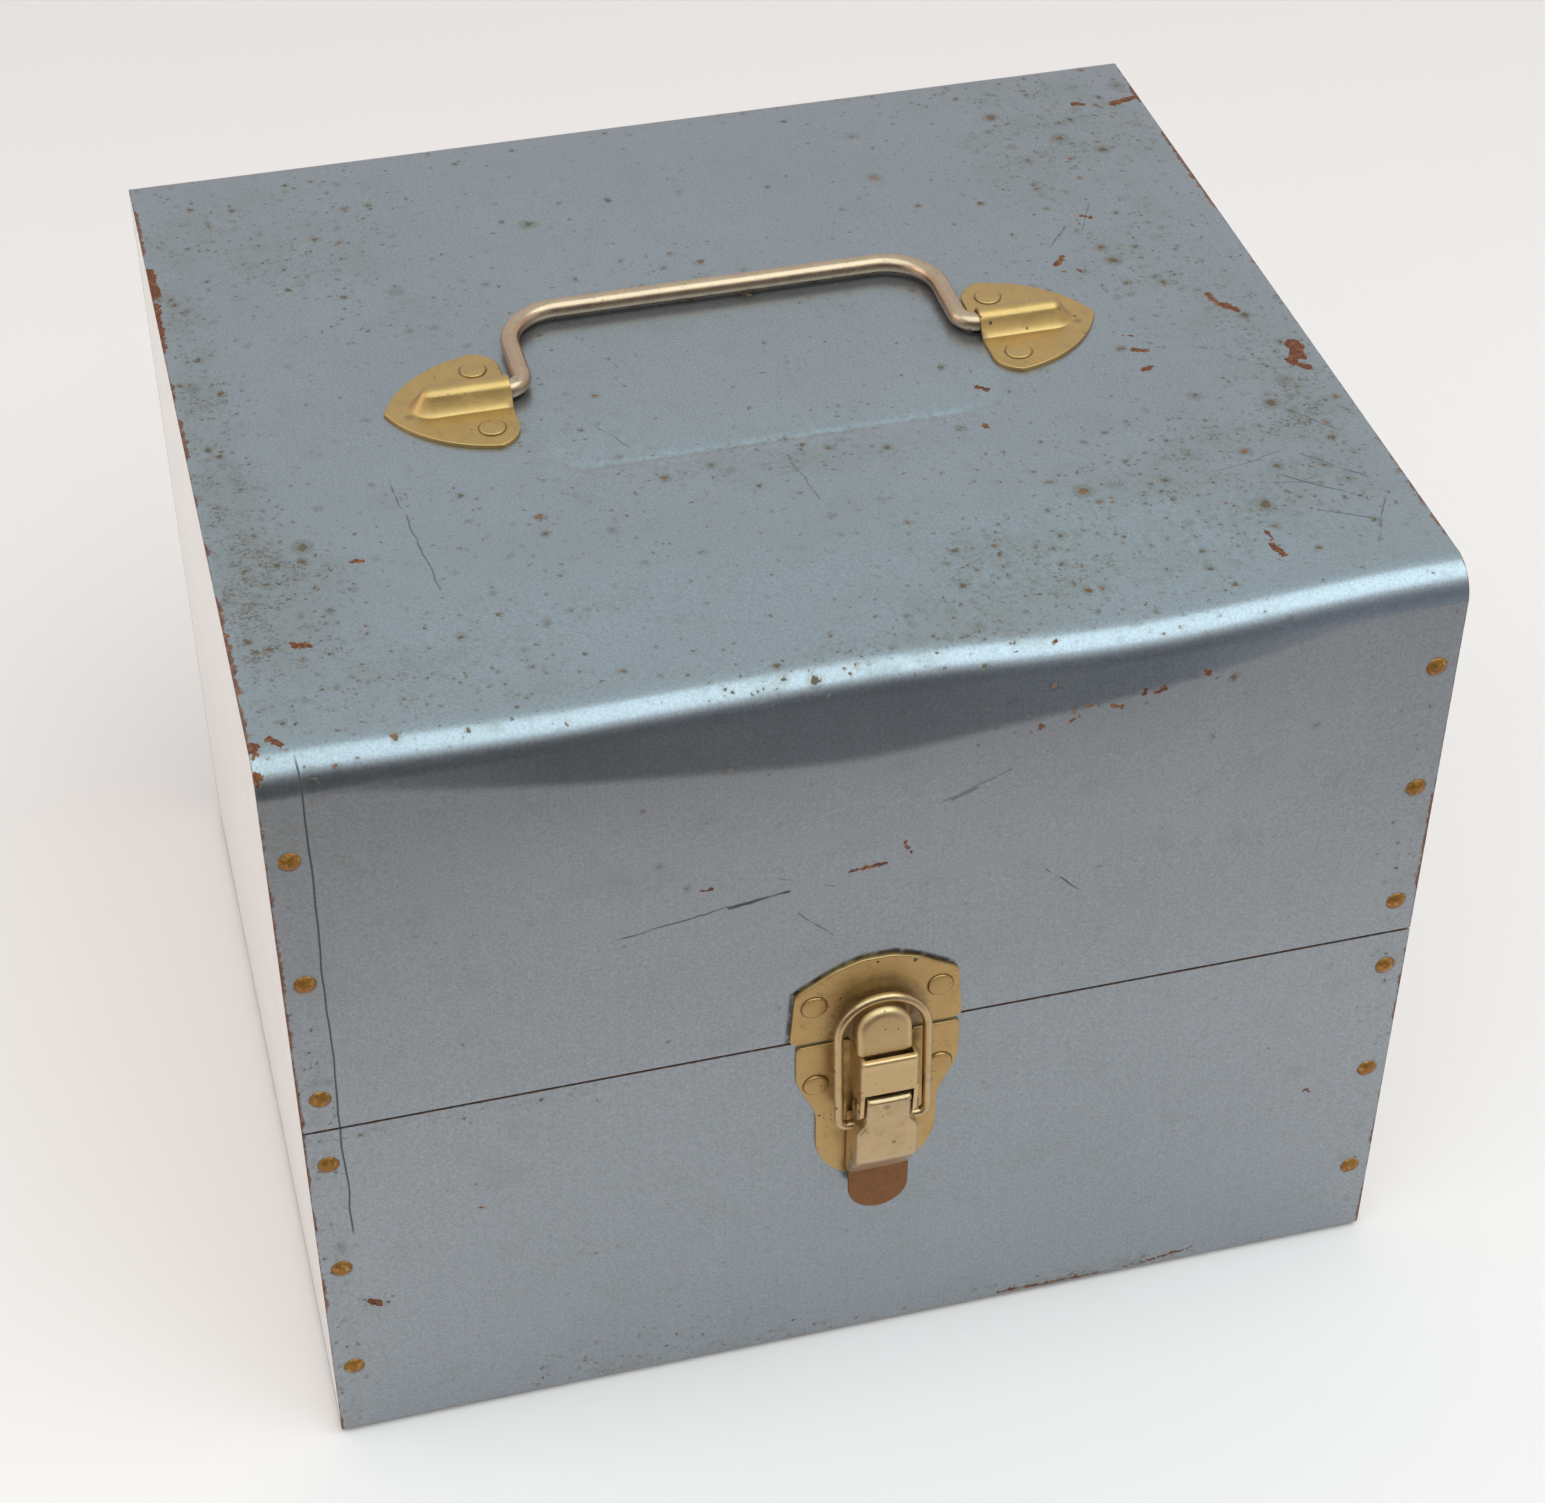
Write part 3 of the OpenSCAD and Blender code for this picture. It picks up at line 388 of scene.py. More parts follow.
class Nodes:
    """Adds nodes to a node tree."""

    def __init__(self, tree):
        self.tree = tree
        tree.nodes.clear()

    def node(self, kind, settings=None, inputs=None, out=0):
        """Adds a node: first its settings, then the values or links of its sockets."""
        made = self.tree.nodes.new(kind)
        for name, setting in (settings or {}).items():
            setattr(made, name, setting)
        for key, value in (inputs or {}).items():
            if isinstance(value, Value):
                self.tree.links.new(value.socket, made.inputs[key])
            elif value is not None:
                made.inputs[key].default_value = value
        return Value(self, made.outputs[out]) if made.outputs else made

    def math(self, operation, *numbers):
        return self.node("ShaderNodeMath", {"operation": operation}, dict(enumerate(numbers)))

    def vector(self, operation, *vectors, scale=None, out=0):
        inputs = dict(enumerate(vectors))
        inputs[3] = scale
        return self.node("ShaderNodeVectorMath", {"operation": operation}, inputs, out)

    def step(self, value, start, end):
        """0 at start, 1 at end, smooth between."""
        return self.node("ShaderNodeMapRange", {"interpolation_type": "SMOOTHSTEP"},
                         {0: value, 1: start, 2: end, 3: 0.0, 4: 1.0})

    def mix(self, share, first, second):
        """Colour that goes from first to second as share goes from 0 to 1."""
        first, second = (c if isinstance(c, Value) else (*c, 1.0) for c in (first, second))
        return self.node("ShaderNodeMix", {"data_type": "RGBA"}, {0: share, 6: first, 7: second}, 2)

    def any_of(self, values):
        """Largest of several values."""
        return functools.reduce(operator.or_, values)

    def seen(self):
        """1 for light that goes to the eye, to a polished face or through glass, and 0 for other light."""
        path = self.node("ShaderNodeLightPath", out="Is Camera Ray")
        return path | path.output("Is Glossy Ray") | path.output("Is Transmission Ray")


class Coat(Nodes):
    """One node material with a Principled shader; p is the place on the piece, in millimetres."""

    def __init__(self, name, **constants):
        self.material = bpy.data.materials.new(name)
        self.material.use_nodes = True
        super().__init__(self.material.node_tree)
        self.surface = self.node("ShaderNodeBsdfPrincipled")
        self.output = self.node("ShaderNodeOutputMaterial", {}, {"Surface": self.surface})
        self.shader = self.surface.socket.node
        self.finish(**constants)
        place = self.node("ShaderNodeTexCoord", out="Object")
        self.p = self.vector("SCALE", place, scale=1 / MM)
        self.x = self.node("ShaderNodeSeparateXYZ", {}, {0: self.p})
        self.y, self.z = self.x.output(1), self.x.output(2)

    def varied(self, share, colour, less, more):
        """Colour that goes from less to more times its own strength as share goes from 0 to 1."""
        return self.mix(share, [k * less for k in colour], [min(1, k * more) for k in colour])

    def noise(self, size, detail=2.0, roughness=0.5, at=None, out=0, distortion=0.0):
        """Noise whose features are size across, one size or one per axis."""
        size = (size,) * 3 if np.isscalar(size) else size
        place = self.vector("MULTIPLY", at or self.p, tuple(1 / s for s in size))
        return self.node("ShaderNodeTexNoise", {}, {"Vector": place, "Scale": 1.0, "Detail": detail,
                                                    "Roughness": roughness, "Distortion": distortion}, out)

    def cells(self, size, at=None):
        """Distance to the nearest of scattered points, in millimetres, and two random numbers for each."""
        place = self.vector("SCALE", at or self.p, scale=1 / size)
        near = self.node("ShaderNodeTexVoronoi", {}, {"Vector": place, "Scale": 1.0, "Randomness": 1.0})
        split = self.node("ShaderNodeSeparateColor", {}, {0: near.output("Color")})
        return near * size, split, split.output(1)

    def shaken(self, size, amount, start=None):
        """The place, pushed about by noise of that size and amount."""
        push = self.vector("SUBTRACT", self.noise(size, 2, out="Color"), (0.5, 0.5, 0.5))
        return self.vector("ADD", start or self.p, self.vector("SCALE", push, scale=2 * amount))

    def near(self, point):
        """Distance to a point."""
        return self.vector("DISTANCE", self.p, tuple(map(float, point)), out=1)

    def near_line(self, first, last, at=None):
        """Distance to a straight line between two points."""
        first, last = np.array(first, float), np.array(last, float)
        way = last - first
        offset = self.vector("SUBTRACT", at or self.p, tuple(first))
        share = self.node("ShaderNodeClamp", {}, {0: self.vector("DOT_PRODUCT", offset,
                                                                 tuple(way / (way @ way)), out=1)})
        along = self.vector("SCALE", tuple(way), scale=share)
        return self.vector("LENGTH", self.vector("SUBTRACT", offset, along), out=1)

    def attribute(self, name):
        return self.node("ShaderNodeAttribute", {"attribute_name": name}, out="Fac")

    def bump(self, height, depth, strength=1.0):
        """Bump whose height of 1 stands depth millimetres proud."""
        return self.node("ShaderNodeBump", {},
                         {"Strength": strength, "Distance": depth * MM, "Height": height})

    def finish(self, **links):
        """Joins values to the shader's sockets and returns the material."""
        for socket, value in links.items():
            socket = self.shader.inputs[socket.replace("_", " ")]
            if isinstance(value, Value):
                self.tree.links.new(value.socket, socket)
            else:
                socket.default_value = value
        return self.material


# Wear on the lacquer. Patches of specks: x, y or z, half sizes across, amount
TOP_SPECKS = [(-121, -10, 8, 95, 0.95), (-112, -62, 13, 24, 1.0), (-88, 78, 24, 28, 0.5),
              (-88, -92, 26, 16, 0.5), (-112, 88, 12, 18, 0.4), (-70, 40, 20, 16, 0.22),
              (34, -90, 26, 17, 0.8), (72, -72, 24, 30, 0.55), (108, 80, 22, 24, 0.75),
              (84, 72, 14, 22, 0.5), (102, 22, 22, 34, 0.5), (116, -40, 12, 44, 0.85),
              (96, -66, 18, 22, 0.55), (-6, -36, 36, 8, 0.4), (-50, -8, 8, 14, 0.3),
              (10, -108, 48, 6, 0.6), (60, 10, 16, 20, 0.25), (-60, -50, 30, 30, 0.16),
              (20, -55, 40, 24, 0.16), (90, 105, 40, 6, 0.5)]
FRONT_SPECKS = [(-124, 60, 4, 90, 0.5), (-116, 44, 4, 4, 1.0), (58, 3, 30, 3, 1.0),
                (-60, 10, 40, 6, 0.35), (123, 100, 5, 90, 0.25), (-20, 3, 90, 2.5, 0.5),
                (-90, 100, 30, 2.5, 0.5), (48, 187, 24, 5, 0.25), (-64, 47, 5, 3, 0.4)]
OTHER_SPECKS = [(-100, 30, 30, 50, 1), (90, 150, 40, 60, 1)]
# Added to the speck density on the outside of a sheet, so that its inside, at 0, gets no wear
OUTER_MARK = 0.02
# Sizes of rust specks: spacing, share that is there at full density, least and most radius
SPECK_SIZES = [(1.3, 0.70, 0.12, 0.38), (3.0, 0.70, 0.20, 0.85), (7.2, 0.60, 0.40, 1.40)]


def on_top_of_lid(marks):
    """Marks on the flat top from the x and y of both their ends."""
    return [((a, b, TOP), (c, d, TOP), *rest) for a, b, c, d, *rest in marks]


def across_front(marks):
    """Marks on the front from the x and z of both their ends."""
    return [((a, FRONT, b), (c, FRONT, d), *rest) for a, b, c, d, *rest in marks]


# Flakes of red rust: both ends and radius
FLAKES = on_top_of_lid([
    (81.2, 22.6, 83.6, 25.6, 0.7), (85.3, 19.1, 85.9, 18.4, 0.5), (86.2, -9.9, 88.2, -10.9, 0.5),
    (86.6, -16.2, 89.2, -17.3, 0.9), (85.9, -24.9, 87.9, -23.9, 0.8), (111.2, 1.4, 111.9, -1.8, 0.8),
    (112.8, -3.4, 115.2, -6.4, 1), (48, -21.6, 49.4, -23, 0.7), (44.8, -36.3, 45, -37.3, 0.6),
    (90.7, -88.3, 90.9, -91, 0.5), (90.2, -93, 91.4, -96.6, 0.8), (119.5, 92, 125.5, 93.4, 1.2),
    (109.7, 94.4, 112, 93.6, 0.8), (122.8, -23.2, 121.8, -27.6, 1.9), (119.2, -28.8, 122.6, -33.2, 1),
    (94.4, 41.8, 96, 41, 0.6), (-126.2, 73, -126, 62, 1.3), (-126.4, 58, -126.6, 40, 0.7),
    (-113.5, -75.6, -110.8, -76.6, 0.9), (-98.3, -50.6, -95.9, -51.4, 0.5),
    (-122.6, -103.5, -120.6, -106, 0.6)])
FLAKES += across_front([
    (-6.8, 150.9, 0.9, 151.5, 0.42), (-3.5, 151.4, -0.5, 151.6, 0.6), (-39, 153, -37.2, 152.8, 0.5),
    (5, 157, 6.6, 153.4, 0.25), (33.2, 183.5, 33.4, 183, 0.7), (39.6, 183.1, 40.4, 183.6, 0.4),
    (42.8, 187.3, 43.5, 186.8, 0.5), (48, 185.8, 50.4, 184.9, 0.5), (55.2, 187.4, 55.6, 188.2, 0.5),
    (58.2, 187.3, 59.6, 187.9, 0.6), (68.4, 190.6, 69, 189.9, 0.8), (-90.6, 68.8, -89.8, 68.4, 0.4),
    (-116.8, 45, -115.2, 43.2, 0.9), (33, 2.6, 60, 2.2, 0.35), (66, 2.4, 83, 4.6, 0.3),
    (105.8, 54.5, 108, 53.4, 0.4)])
FLAKES += [((-125.9, -105.5, 204), (-126.4, -112, 201), 1.3),
           ((33.4, -110.5, 201.8), (34.2, -111.9, 199.4), 0.35),
           ((36.5, -109.5, 202.4), (37.5, -108.5, 203), 0.4),
           ((28, -110, 201.8), (30.5, -110.6, 201.6), 0.25)]
# Scratches: both ends, half width, how dark (below 0 is pale)
SCRATCHES = across_front([
    (-57.2, 143, -20, 148.8, 0.16, 0.7), (-33, 146.3, -20, 148.6, 0.34, 0.8),
    (37.2, 141.2, 45, 133.4, 0.14, 0.7), (12.7, 166.6, 27.2, 172.9, 0.14, 0.45),
    (15, 167.2, 20, 169, 0.4, 0.4), (-18.1, 141.2, -10, 133, 0.12, 0.5),
    (-10.9, 143.9, 16.3, 149.4, 0.14, -0.25), (-22.7, 153, -10, 147.5, 0.12, 0.3)])
SCRATCHES += on_top_of_lid([
    (-86.2, -21.2, -81.7, -64.7, 0.14, 0.55), (-40, -12.1, -32.7, -24.8, 0.12, 0.45),
    (0, -39.3, 2.2, -53.8, 0.12, 0.45), (100.7, -70.2, 115.2, -82, 0.18, 0.6),
    (88, -66, 104, -62, 0.14, 0.4), (82, 30, 88.5, 38.5, 0.16, 0.6), (92, 36, 97.5, 47, 0.12, 0.45),
    (108, -64, 119, -76, 0.15, 0.55), (104, -84, 118, -92, 0.15, 0.5), (111, -47, 120, -58, 0.12, 0.45),
    (112, -98, 119.5, -84, 0.14, 0.5), (96, -72, 109, -75, 0.12, 0.45)])
# Corners of the dark line round the catch, from its left foot over its crown: painted shadow and grime
LATCH_SHADOW_AND_GRIME = [(x, FRONT, SEAM + up) for x, up in (
    (-20, 1), (-18.9, 14.9), (-9.5, 20.8), (-3, 23), (4, 23), (9.5, 20.9), (17, 16.4))]
# Hairline crack up the front: its x and its lowest point
CRACK_X, CRACK_FOOT = -118.2, 67.0


def patches(a, b, table):
    """Sum of flat-topped bells: e to the power of minus the cube of the distance in half sizes."""
    total = 0.0
    for ca, cb, ra, rb, amount in table:
        total = total + amount * np.exp(-(((a - ca) / ra) ** 2 + ((b - cb) / rb) ** 2) ** 1.5)
    return total


def speck_density(p):
    """How thickly the rust specks lie at each point of a sheet."""
    x, y, z = p[..., 0], p[..., 1], p[..., 2]
    on_top = ease((z - (TOP - 6)) / 4)
    front = ease((FRONT + 6 - y) / 4) * (1 - on_top)
    elsewhere = (1 - on_top) * (1 - front)
    broken = 0.75 + 0.5 * ripples(x, y + z, SEED, 9, 9, 40)
    density = on_top * (0.13 + patches(x, y, TOP_SPECKS)) + front * (0.04 + patches(x, z, FRONT_SPECKS))
    density = density + elsewhere * (0.16 + 0.3 * patches(x, z, OTHER_SPECKS))
    return np.clip(density * broken, 0, 1)


def lacquer_coat(colour, wear):
    """Thin metallic lacquer over brushed steel, with specks, flakes and scratches of rust."""
    c = Coat("blue_lacquer", Metallic=0.85)
    brushed = c.noise((0.42, 34, 34), 3, 0.6)
    cloud = c.noise(38, 3, 0.55)
    grain = c.noise(0.5, 1, 0.5)
    rust = c.attribute("rust")
    outer = c.step(rust, OUTER_MARK * 0.25, OUTER_MARK * 0.75)

    # Specks: three sizes of scattered dots. A dot is there where its first random number is below the
    # density; its second one sets its radius. Round each is a faint halo.
    shaken = c.shaken(1.3, 0.85)
    crumbs = (c.noise(0.55, 2, 0.6) - 0.5) * 1.1
    cores, halos = [], []
    for size, part, least, most in SPECK_SIZES:
        away, chance, second = c.cells(size, shaken)
        there = c.step(rust * part - chance, 0.0, 0.06)
        reach = second * second * (most - least) + least
        cores.append(c.step(reach - away + crumbs, -0.12, 0.16) * there)
        halos.append(c.step(reach * 2.0 - away, -0.7, 0.7) * there)
    specks, halo = c.any_of(cores), c.any_of(halos)
    blotch = c.step(c.noise(4.5, 4, 0.7) + rust * 0.26, 0.72, 0.86) * c.step(rust, 0.15, 0.55)
    blotch = blotch * c.step(c.noise(0.8, 2, 0.7), 0.44, 0.60)
    stain = c.step(c.noise(12, 3, 0.6) + rust * 0.4, 0.54, 0.95)

    # Flakes with ragged edges, each a fat short line. Marks are set out on the flat top and front, so the
    # sheet's dents are taken out of the place first.
    level = c.z + c.step(c.z, 199.5, 201) * c.step(c.y, -111.5, -109.5) * (TOP - c.z)
    flat = c.node("ShaderNodeCombineXYZ", {}, {0: c.x, 1: c.math("MAXIMUM", c.y, FRONT), 2: level})
    ragged = c.shaken(1.5, 1.0, flat)
    flakes = c.any_of([r - c.near_line(a, b, ragged) for a, b, r in FLAKES])
    ragged_flakes = flakes * 1.4 + 0.02 + (c.noise(0.7, 3, 0.7) - 0.5) * 1.8 + (c.noise(2.2, 1) - 0.5) * 1.3
    flake = c.step(ragged_flakes, -0.1, 0.1) * c.step(flakes, -0.7, -0.35) * outer

    # Bare, rusty line along the cut edges of the sheet
    edge_noise = c.noise(2.2, 3, 0.7)
    from_edge = SIDE - abs(c.x)
    patchy = c.step(c.noise(17, 2, 0.5), 0.44, 0.60)
    on_top = c.step(c.z, TOP - 3, TOP - 1)
    edge = c.step(edge_noise * (1.35 + patchy * (1.1 + on_top * 0.7)) - from_edge, 0.35, 0.95)
    rim = c.step(edge_noise * 1.4 - abs(c.z - SEAM), 0.2, 0.6) * 0.3

    # Scratches and the long hairline crack
    wobble = c.shaken(7, 0.8, flat)
    dark, pale = [], []
    for first, last, width, depth in SCRATCHES:
        mark = c.step(c.near_line(first, last, wobble), width + 0.18, width * 0.5)
        (dark if depth > 0 else pale).append(mark * min(1, abs(depth) * 1.25))
    crack_off = abs(c.x - CRACK_X + (c.noise(26, 2) - 0.5) * 3.4)
    crack = c.step(crack_off, 0.3, 0.1) * c.step(c.z, CRACK_FOOT, CRACK_FOOT + 3) * c.step(c.y, -108, -111)
    scratch = c.any_of(dark + [crack * 0.9]) * outer
    scuffed = c.any_of(pale) | (c.attribute("scuff") * c.step(c.noise(2.6, 3, 0.6), 0.36, 0.66))

    # Dirty ring round each nail: distance to the nearest nail of a column
    rings = []
    for heights in (nail_heights("lid_nails"), nail_heights("base_nails")):
        pitch = float(heights[1] - heights[0])
        off_z = c.math("PINGPONG", c.z - float(heights[0]), pitch / 2)
        off_x = abs(c.x) - NAIL_X
        away = (off_z ** 2 + off_x ** 2) ** 0.5
        inside = c.step(abs(c.z - float(heights[1])), pitch * 1.5, pitch * 1.4)
        rings.append(c.step(away + edge_noise * 0.7, NAIL_R + 0.75, NAIL_R + 0.1) * inside)
    ring = c.any_of(rings) * (1 - on_top) * outer

    base = c.varied(brushed * 0.55 + cloud * 0.45, colour, 0.87, 1.13)
    spark = c.noise(0.6, 2, 0.7)
    base = c.mix(c.step(spark, 0.50, 0.70) * 0.26, base, (0.44, 0.50, 0.56))
    base = c.mix(c.step(spark, 0.50, 0.32) * 0.34, base, (0.20, 0.20, 0.185))
    # Dark line round the catch plate: painted shadow along its edge, with grime
    edges = zip(LATCH_SHADOW_AND_GRIME, LATCH_SHADOW_AND_GRIME[1:])
    shaded = c.any_of([c.step(c.near_line(first, last), 1.1, 0.25) for first, last in edges])
    shaded = shaded * c.step(c.noise(2.4, 2), 0.25, 0.55)
    base = c.mix(shaded * outer * 0.85, base, (0.045, 0.030, 0.022))
    base = c.mix(scuffed * 0.26, base, (0.42, 0.52, 0.56))
    base = c.mix(stain * 0.20 * wear, base, (0.20, 0.19, 0.13))
    base = c.mix(halo * 0.34 * wear, base, (0.14, 0.115, 0.066))
    base = c.mix(scratch, base, (0.05, 0.05, 0.05))
    speck_colour = c.mix(grain, (0.045, 0.034, 0.020), (0.145, 0.100, 0.052))
    speck_colour = c.mix(c.step(c.noise(3.6, 1), 0.53, 0.60) * 0.75, speck_colour, (0.21, 0.080, 0.026))
    base = c.mix(specks * 0.92 * wear, base, speck_colour)
    base = c.mix(blotch * 0.8 * wear, base, (0.075, 0.048, 0.024))
    rusted = c.any_of([flake, edge * 0.9, rim, ring * 0.8])
    red = c.mix(c.step(c.noise(0.6, 3, 0.7), 0.35, 0.65), (0.045, 0.012, 0.004), (0.190, 0.046, 0.010))
    red = c.mix(c.step(c.noise(1.7, 2), 0.45, 0.65) * 0.6, red, (0.26, 0.105, 0.030))
    base = c.mix(rusted, base, red)
    dull = c.any_of([specks * wear, blotch * wear, rusted, scratch * 0.6])
    height = c.noise((0.42, 34, 34), 2, 0.6) * 0.35 + c.noise((0.16, 9, 9), 1, 0.6) * 0.25
    rough = 0.30 + (brushed - 0.5) * 0.10 + (cloud - 0.5) * 0.08 + stain * 0.10 * wear + scuffed * 0.08
    return c.finish(Base_Color=base, Metallic=0.88 - dull * 0.86,
                    Roughness=rough + dull * 0.38,
                    Normal=c.bump(height, 0.05, 0.55))


def edge_rust_and_seam_shade_coat():
    """Cut edge of the sheet: brown rust with bright worn spots, its dark brown also painted shade at the
    seam.
    """
    c = Coat("edge_rust_and_seam_shade")
    worn = c.step(c.noise(3, 3, 0.6), 0.5, 0.62)
    colour = c.mix(c.noise(1.2, 3, 0.7), (0.055, 0.030, 0.018), (0.19, 0.10, 0.055))
    colour = c.mix(worn * 0.7, colour, (0.36, 0.38, 0.40))
    return c.finish(Base_Color=colour, Metallic=worn * 0.8, Roughness=0.72 - worn * 0.3,
                    Normal=c.bump(c.noise(0.4, 3), 0.06))


def white_wood_coat(colour):
    """White gloss paint brushed over wood: faint grain, yellowing, grime and bare nicks at the edges."""
    c = Coat("white_wood", Coat_Roughness=0.12, Coat_IOR=1.5)
    grain = c.noise((40, 1.1, 26), 4, 0.6, distortion=0.4)
    brush = c.noise((30, 26, 0.5), 2, 0.5)
    cloud = c.noise(40, 3, 0.5)
    edge_z = abs(c.z - SEAM)
    near_seam = c.step(c.noise(2.4, 4, 0.7) * 1.6 - edge_z, 0.35, 0.8)
    fore_aft = (BACK - 1.2) - abs(c.y)
    near_side = c.step(c.noise(3.2, 4, 0.7) * 2.3 - fore_aft, 0.6, 1.1)
    low = c.step(c.noise(3.0, 4, 0.7) * 2.4 - c.z, 0.4, 1.2)
    high = c.step(c.noise(3.0, 4, 0.7) * 2.2 - (TOP - SHEET - c.z), 0.6, 1.1)
    nick = c.any_of([near_seam, near_side, low, high])
    away, chance, _ = c.cells(9)
    fleck = c.step(chance ** 6 - away, 0.0, 0.25)
    smudge = c.step(c.noise((26, 18, 60), 3, 0.6), 0.55, 0.85)
    base = c.varied(cloud, colour, 0.965, 1)
    base = c.mix(smudge * 0.35, base, (0.70, 0.60, 0.49))
    base = c.mix(c.step(grain, 0.52, 0.7) * 0.26, base, (0.55, 0.48, 0.42))
    base = c.mix((nick | fleck) * 0.85, base, c.mix(c.noise(0.8, 2), (0.16, 0.10, 0.06), (0.46, 0.33, 0.21)))
    worn = nick | fleck
    return c.finish(Base_Color=base, Roughness=0.34 + smudge * 0.12 + worn * 0.4,
                    Coat_Weight=0.35 - worn * 0.35,
                    Normal=c.bump(grain * 0.55 + brush * 0.45 - worn * 0.8, 0.09, 0.6))


def gold_coat(name, colour, tarnish, pits=1.0, dull=0.42, near_dark=(), rings=(), paler=None):
    """Satin gold plating with clouds of tarnish, dark pits, grime and painted shade.

    Grime and painted shade lie in balls (place, radius) and in rings (place, radius, half width,
    amount). Beyond a given distance out of the front the plating is paler: a painted highlight."""
    c = Coat(name, Coat_Weight=0.35, Coat_Roughness=0.22)
    cloud = c.noise(5.5, 4, 0.6)
    fine = c.noise(0.22, 2, 0.6)
    satin = c.noise((0.3, 0.3, 3.0), 2, 0.5)
    shaken = c.shaken(0.6, 0.14)
    dots = []
    for size, most, power in ((0.9, 0.20, 3.0), (2.1, 0.46, 5.0)):
        away, chance, _ = c.cells(size, shaken)
        dots.append(c.step((chance ** power) * most * 1.25 - away, -0.02, 0.1))
    pit = c.any_of(dots) * c.step(c.noise(4.5, 2), 0.36, 0.62) * pits
    grime_and_shade = c.any_of([c.step(c.near(point) + c.noise(1.6, 3) * r * 0.7, r * 1.35, r * 0.55)
                      for *point, r in near_dark]) if near_dark else None
    base = c.varied(cloud, colour, 0.80, 1.15)
    base = c.mix(c.step(c.noise(3.2, 4, 0.7), 0.48, 0.70) * 0.5, base, [k * 0.85 for k in tarnish])
    # Parts that stand furthest out, the catch's nose and the bracket's front, get a paler colour: a painted
    # highlight
    if paler:
        painted_highlight = c.step(c.y, FRONT - paler, FRONT - paler - 3)
        base = c.mix(painted_highlight * 0.6, base, (0.70, 0.50, 0.27))
    # Grime, and painted shade beside and under overlapping parts
    if grime_and_shade is not None:
        base = c.mix(grime_and_shade * 0.55, base, (0.13, 0.07, 0.03))
    base = c.mix(pit * 0.85, base, (0.07, 0.045, 0.02))
    dark = pit if grime_and_shade is None else pit | grime_and_shade * 0.4
    if rings:
        ring = []
        for *point, r, w, amount in rings:
            off = abs(c.near(point) - r) + (c.noise(1.1, 2) - 0.5) * w * 0.8
            ring.append(c.step(off, w * 1.25, w * 0.2) * amount)
        ring = c.any_of(ring)
        base = c.mix(ring, base, (0.135, 0.070, 0.024))
        dark = dark | ring * 0.3
    return c.finish(Base_Color=base, Metallic=0.94 - dark * 0.6,
                    Roughness=dull + (cloud - 0.5) * 0.16 + dark * 0.25,
                    Normal=c.bump(fine * 0.5 + satin * 0.3 - pit * 0.9, 0.035, 0.55))


def bronze_coat():
    """Thumb tab: brown patina with a few rubbed spots."""
    c = Coat("bronze_patina")
    cloud = c.noise(2.6, 4, 0.65)
    base = c.mix(cloud, (0.15, 0.060, 0.018), (0.30, 0.125, 0.040))
    base = c.mix(c.step(c.noise(0.5, 2), 0.58, 0.7) * 0.5, base, (0.09, 0.04, 0.014))
    return c.finish(Base_Color=base, Metallic=0.55, Roughness=0.5 + cloud * 0.15,
                    Normal=c.bump(c.noise(0.35, 3), 0.05, 0.7))


def nail_coat(name="nail_head_brass"):
    """Brass nail heads, mostly rusted brown with rubbed yellow spots."""
    c = Coat(name)
    cloud = c.noise(1.5, 3, 0.65)
    paler = c.step(c.noise(1.1, 2), 0.5, 0.68)
    base = c.mix(cloud, (0.22, 0.085, 0.014), (0.40, 0.19, 0.035))
    base = c.mix(paler * 0.55, base, (0.60, 0.37, 0.11))
    spot = c.step(c.noise(0.8, 3, 0.7), 0.56, 0.66)
    base = c.mix(spot * 0.75, base, (0.10, 0.045, 0.018))
    return c.finish(Base_Color=base, Metallic=0.7 - spot * 0.5, Roughness=0.46 + spot * 0.3 - paler * 0.08,
                    Normal=c.bump(c.noise(0.6, 3, 0.6), 0.12, 0.8))


def steel_coat(name, low, high):
    """Turned steel with fine rings, from its low to its high tone."""
    c = Coat(name, Metallic=1.0)
    rings = c.noise((0.12, 5, 5), 2)
    base = c.mix(c.noise(1.8, 3), low, high)
    return c.finish(Base_Color=base, Roughness=0.28 + rings * 0.14, Normal=c.bump(rings, 0.02))


def pine_coat(name, colour, along="x"):
    """Sanded pine: streaks and darker bands along the board, and fine dark pores."""
    c = Coat(name, Coat_Weight=0.12, Coat_Roughness=0.35)
    long, short = 60, 1.6
    size = {"x": (long, short, short), "y": (short, long, short), "z": (short, short, long)}[along]
    streak = c.noise(size, 4, 0.6, distortion=0.6)
    band = c.noise(tuple(s * 4 for s in size), 2, 0.5, distortion=1.2)
    rings = c.node("ShaderNodeMath", {"operation": "SINE"}, {0: band * 26.0}) * 0.5 + 0.5
    pore = c.step(c.noise(tuple(s * 0.22 for s in size), 2), 0.60, 0.72)
    base = c.varied(streak, colour, 0.84, 1.14)
    base = c.mix(rings * 0.32, base, (0.42, 0.25, 0.12))
    base = c.mix(pore * 0.4, base, (0.25, 0.15, 0.07))
    return c.finish(Base_Color=base, Roughness=0.56 - rings * 0.08 + pore * 0.1,
                    Normal=c.bump(streak * 0.5 + rings * 0.25 - pore * 0.6, 0.08, 0.6))


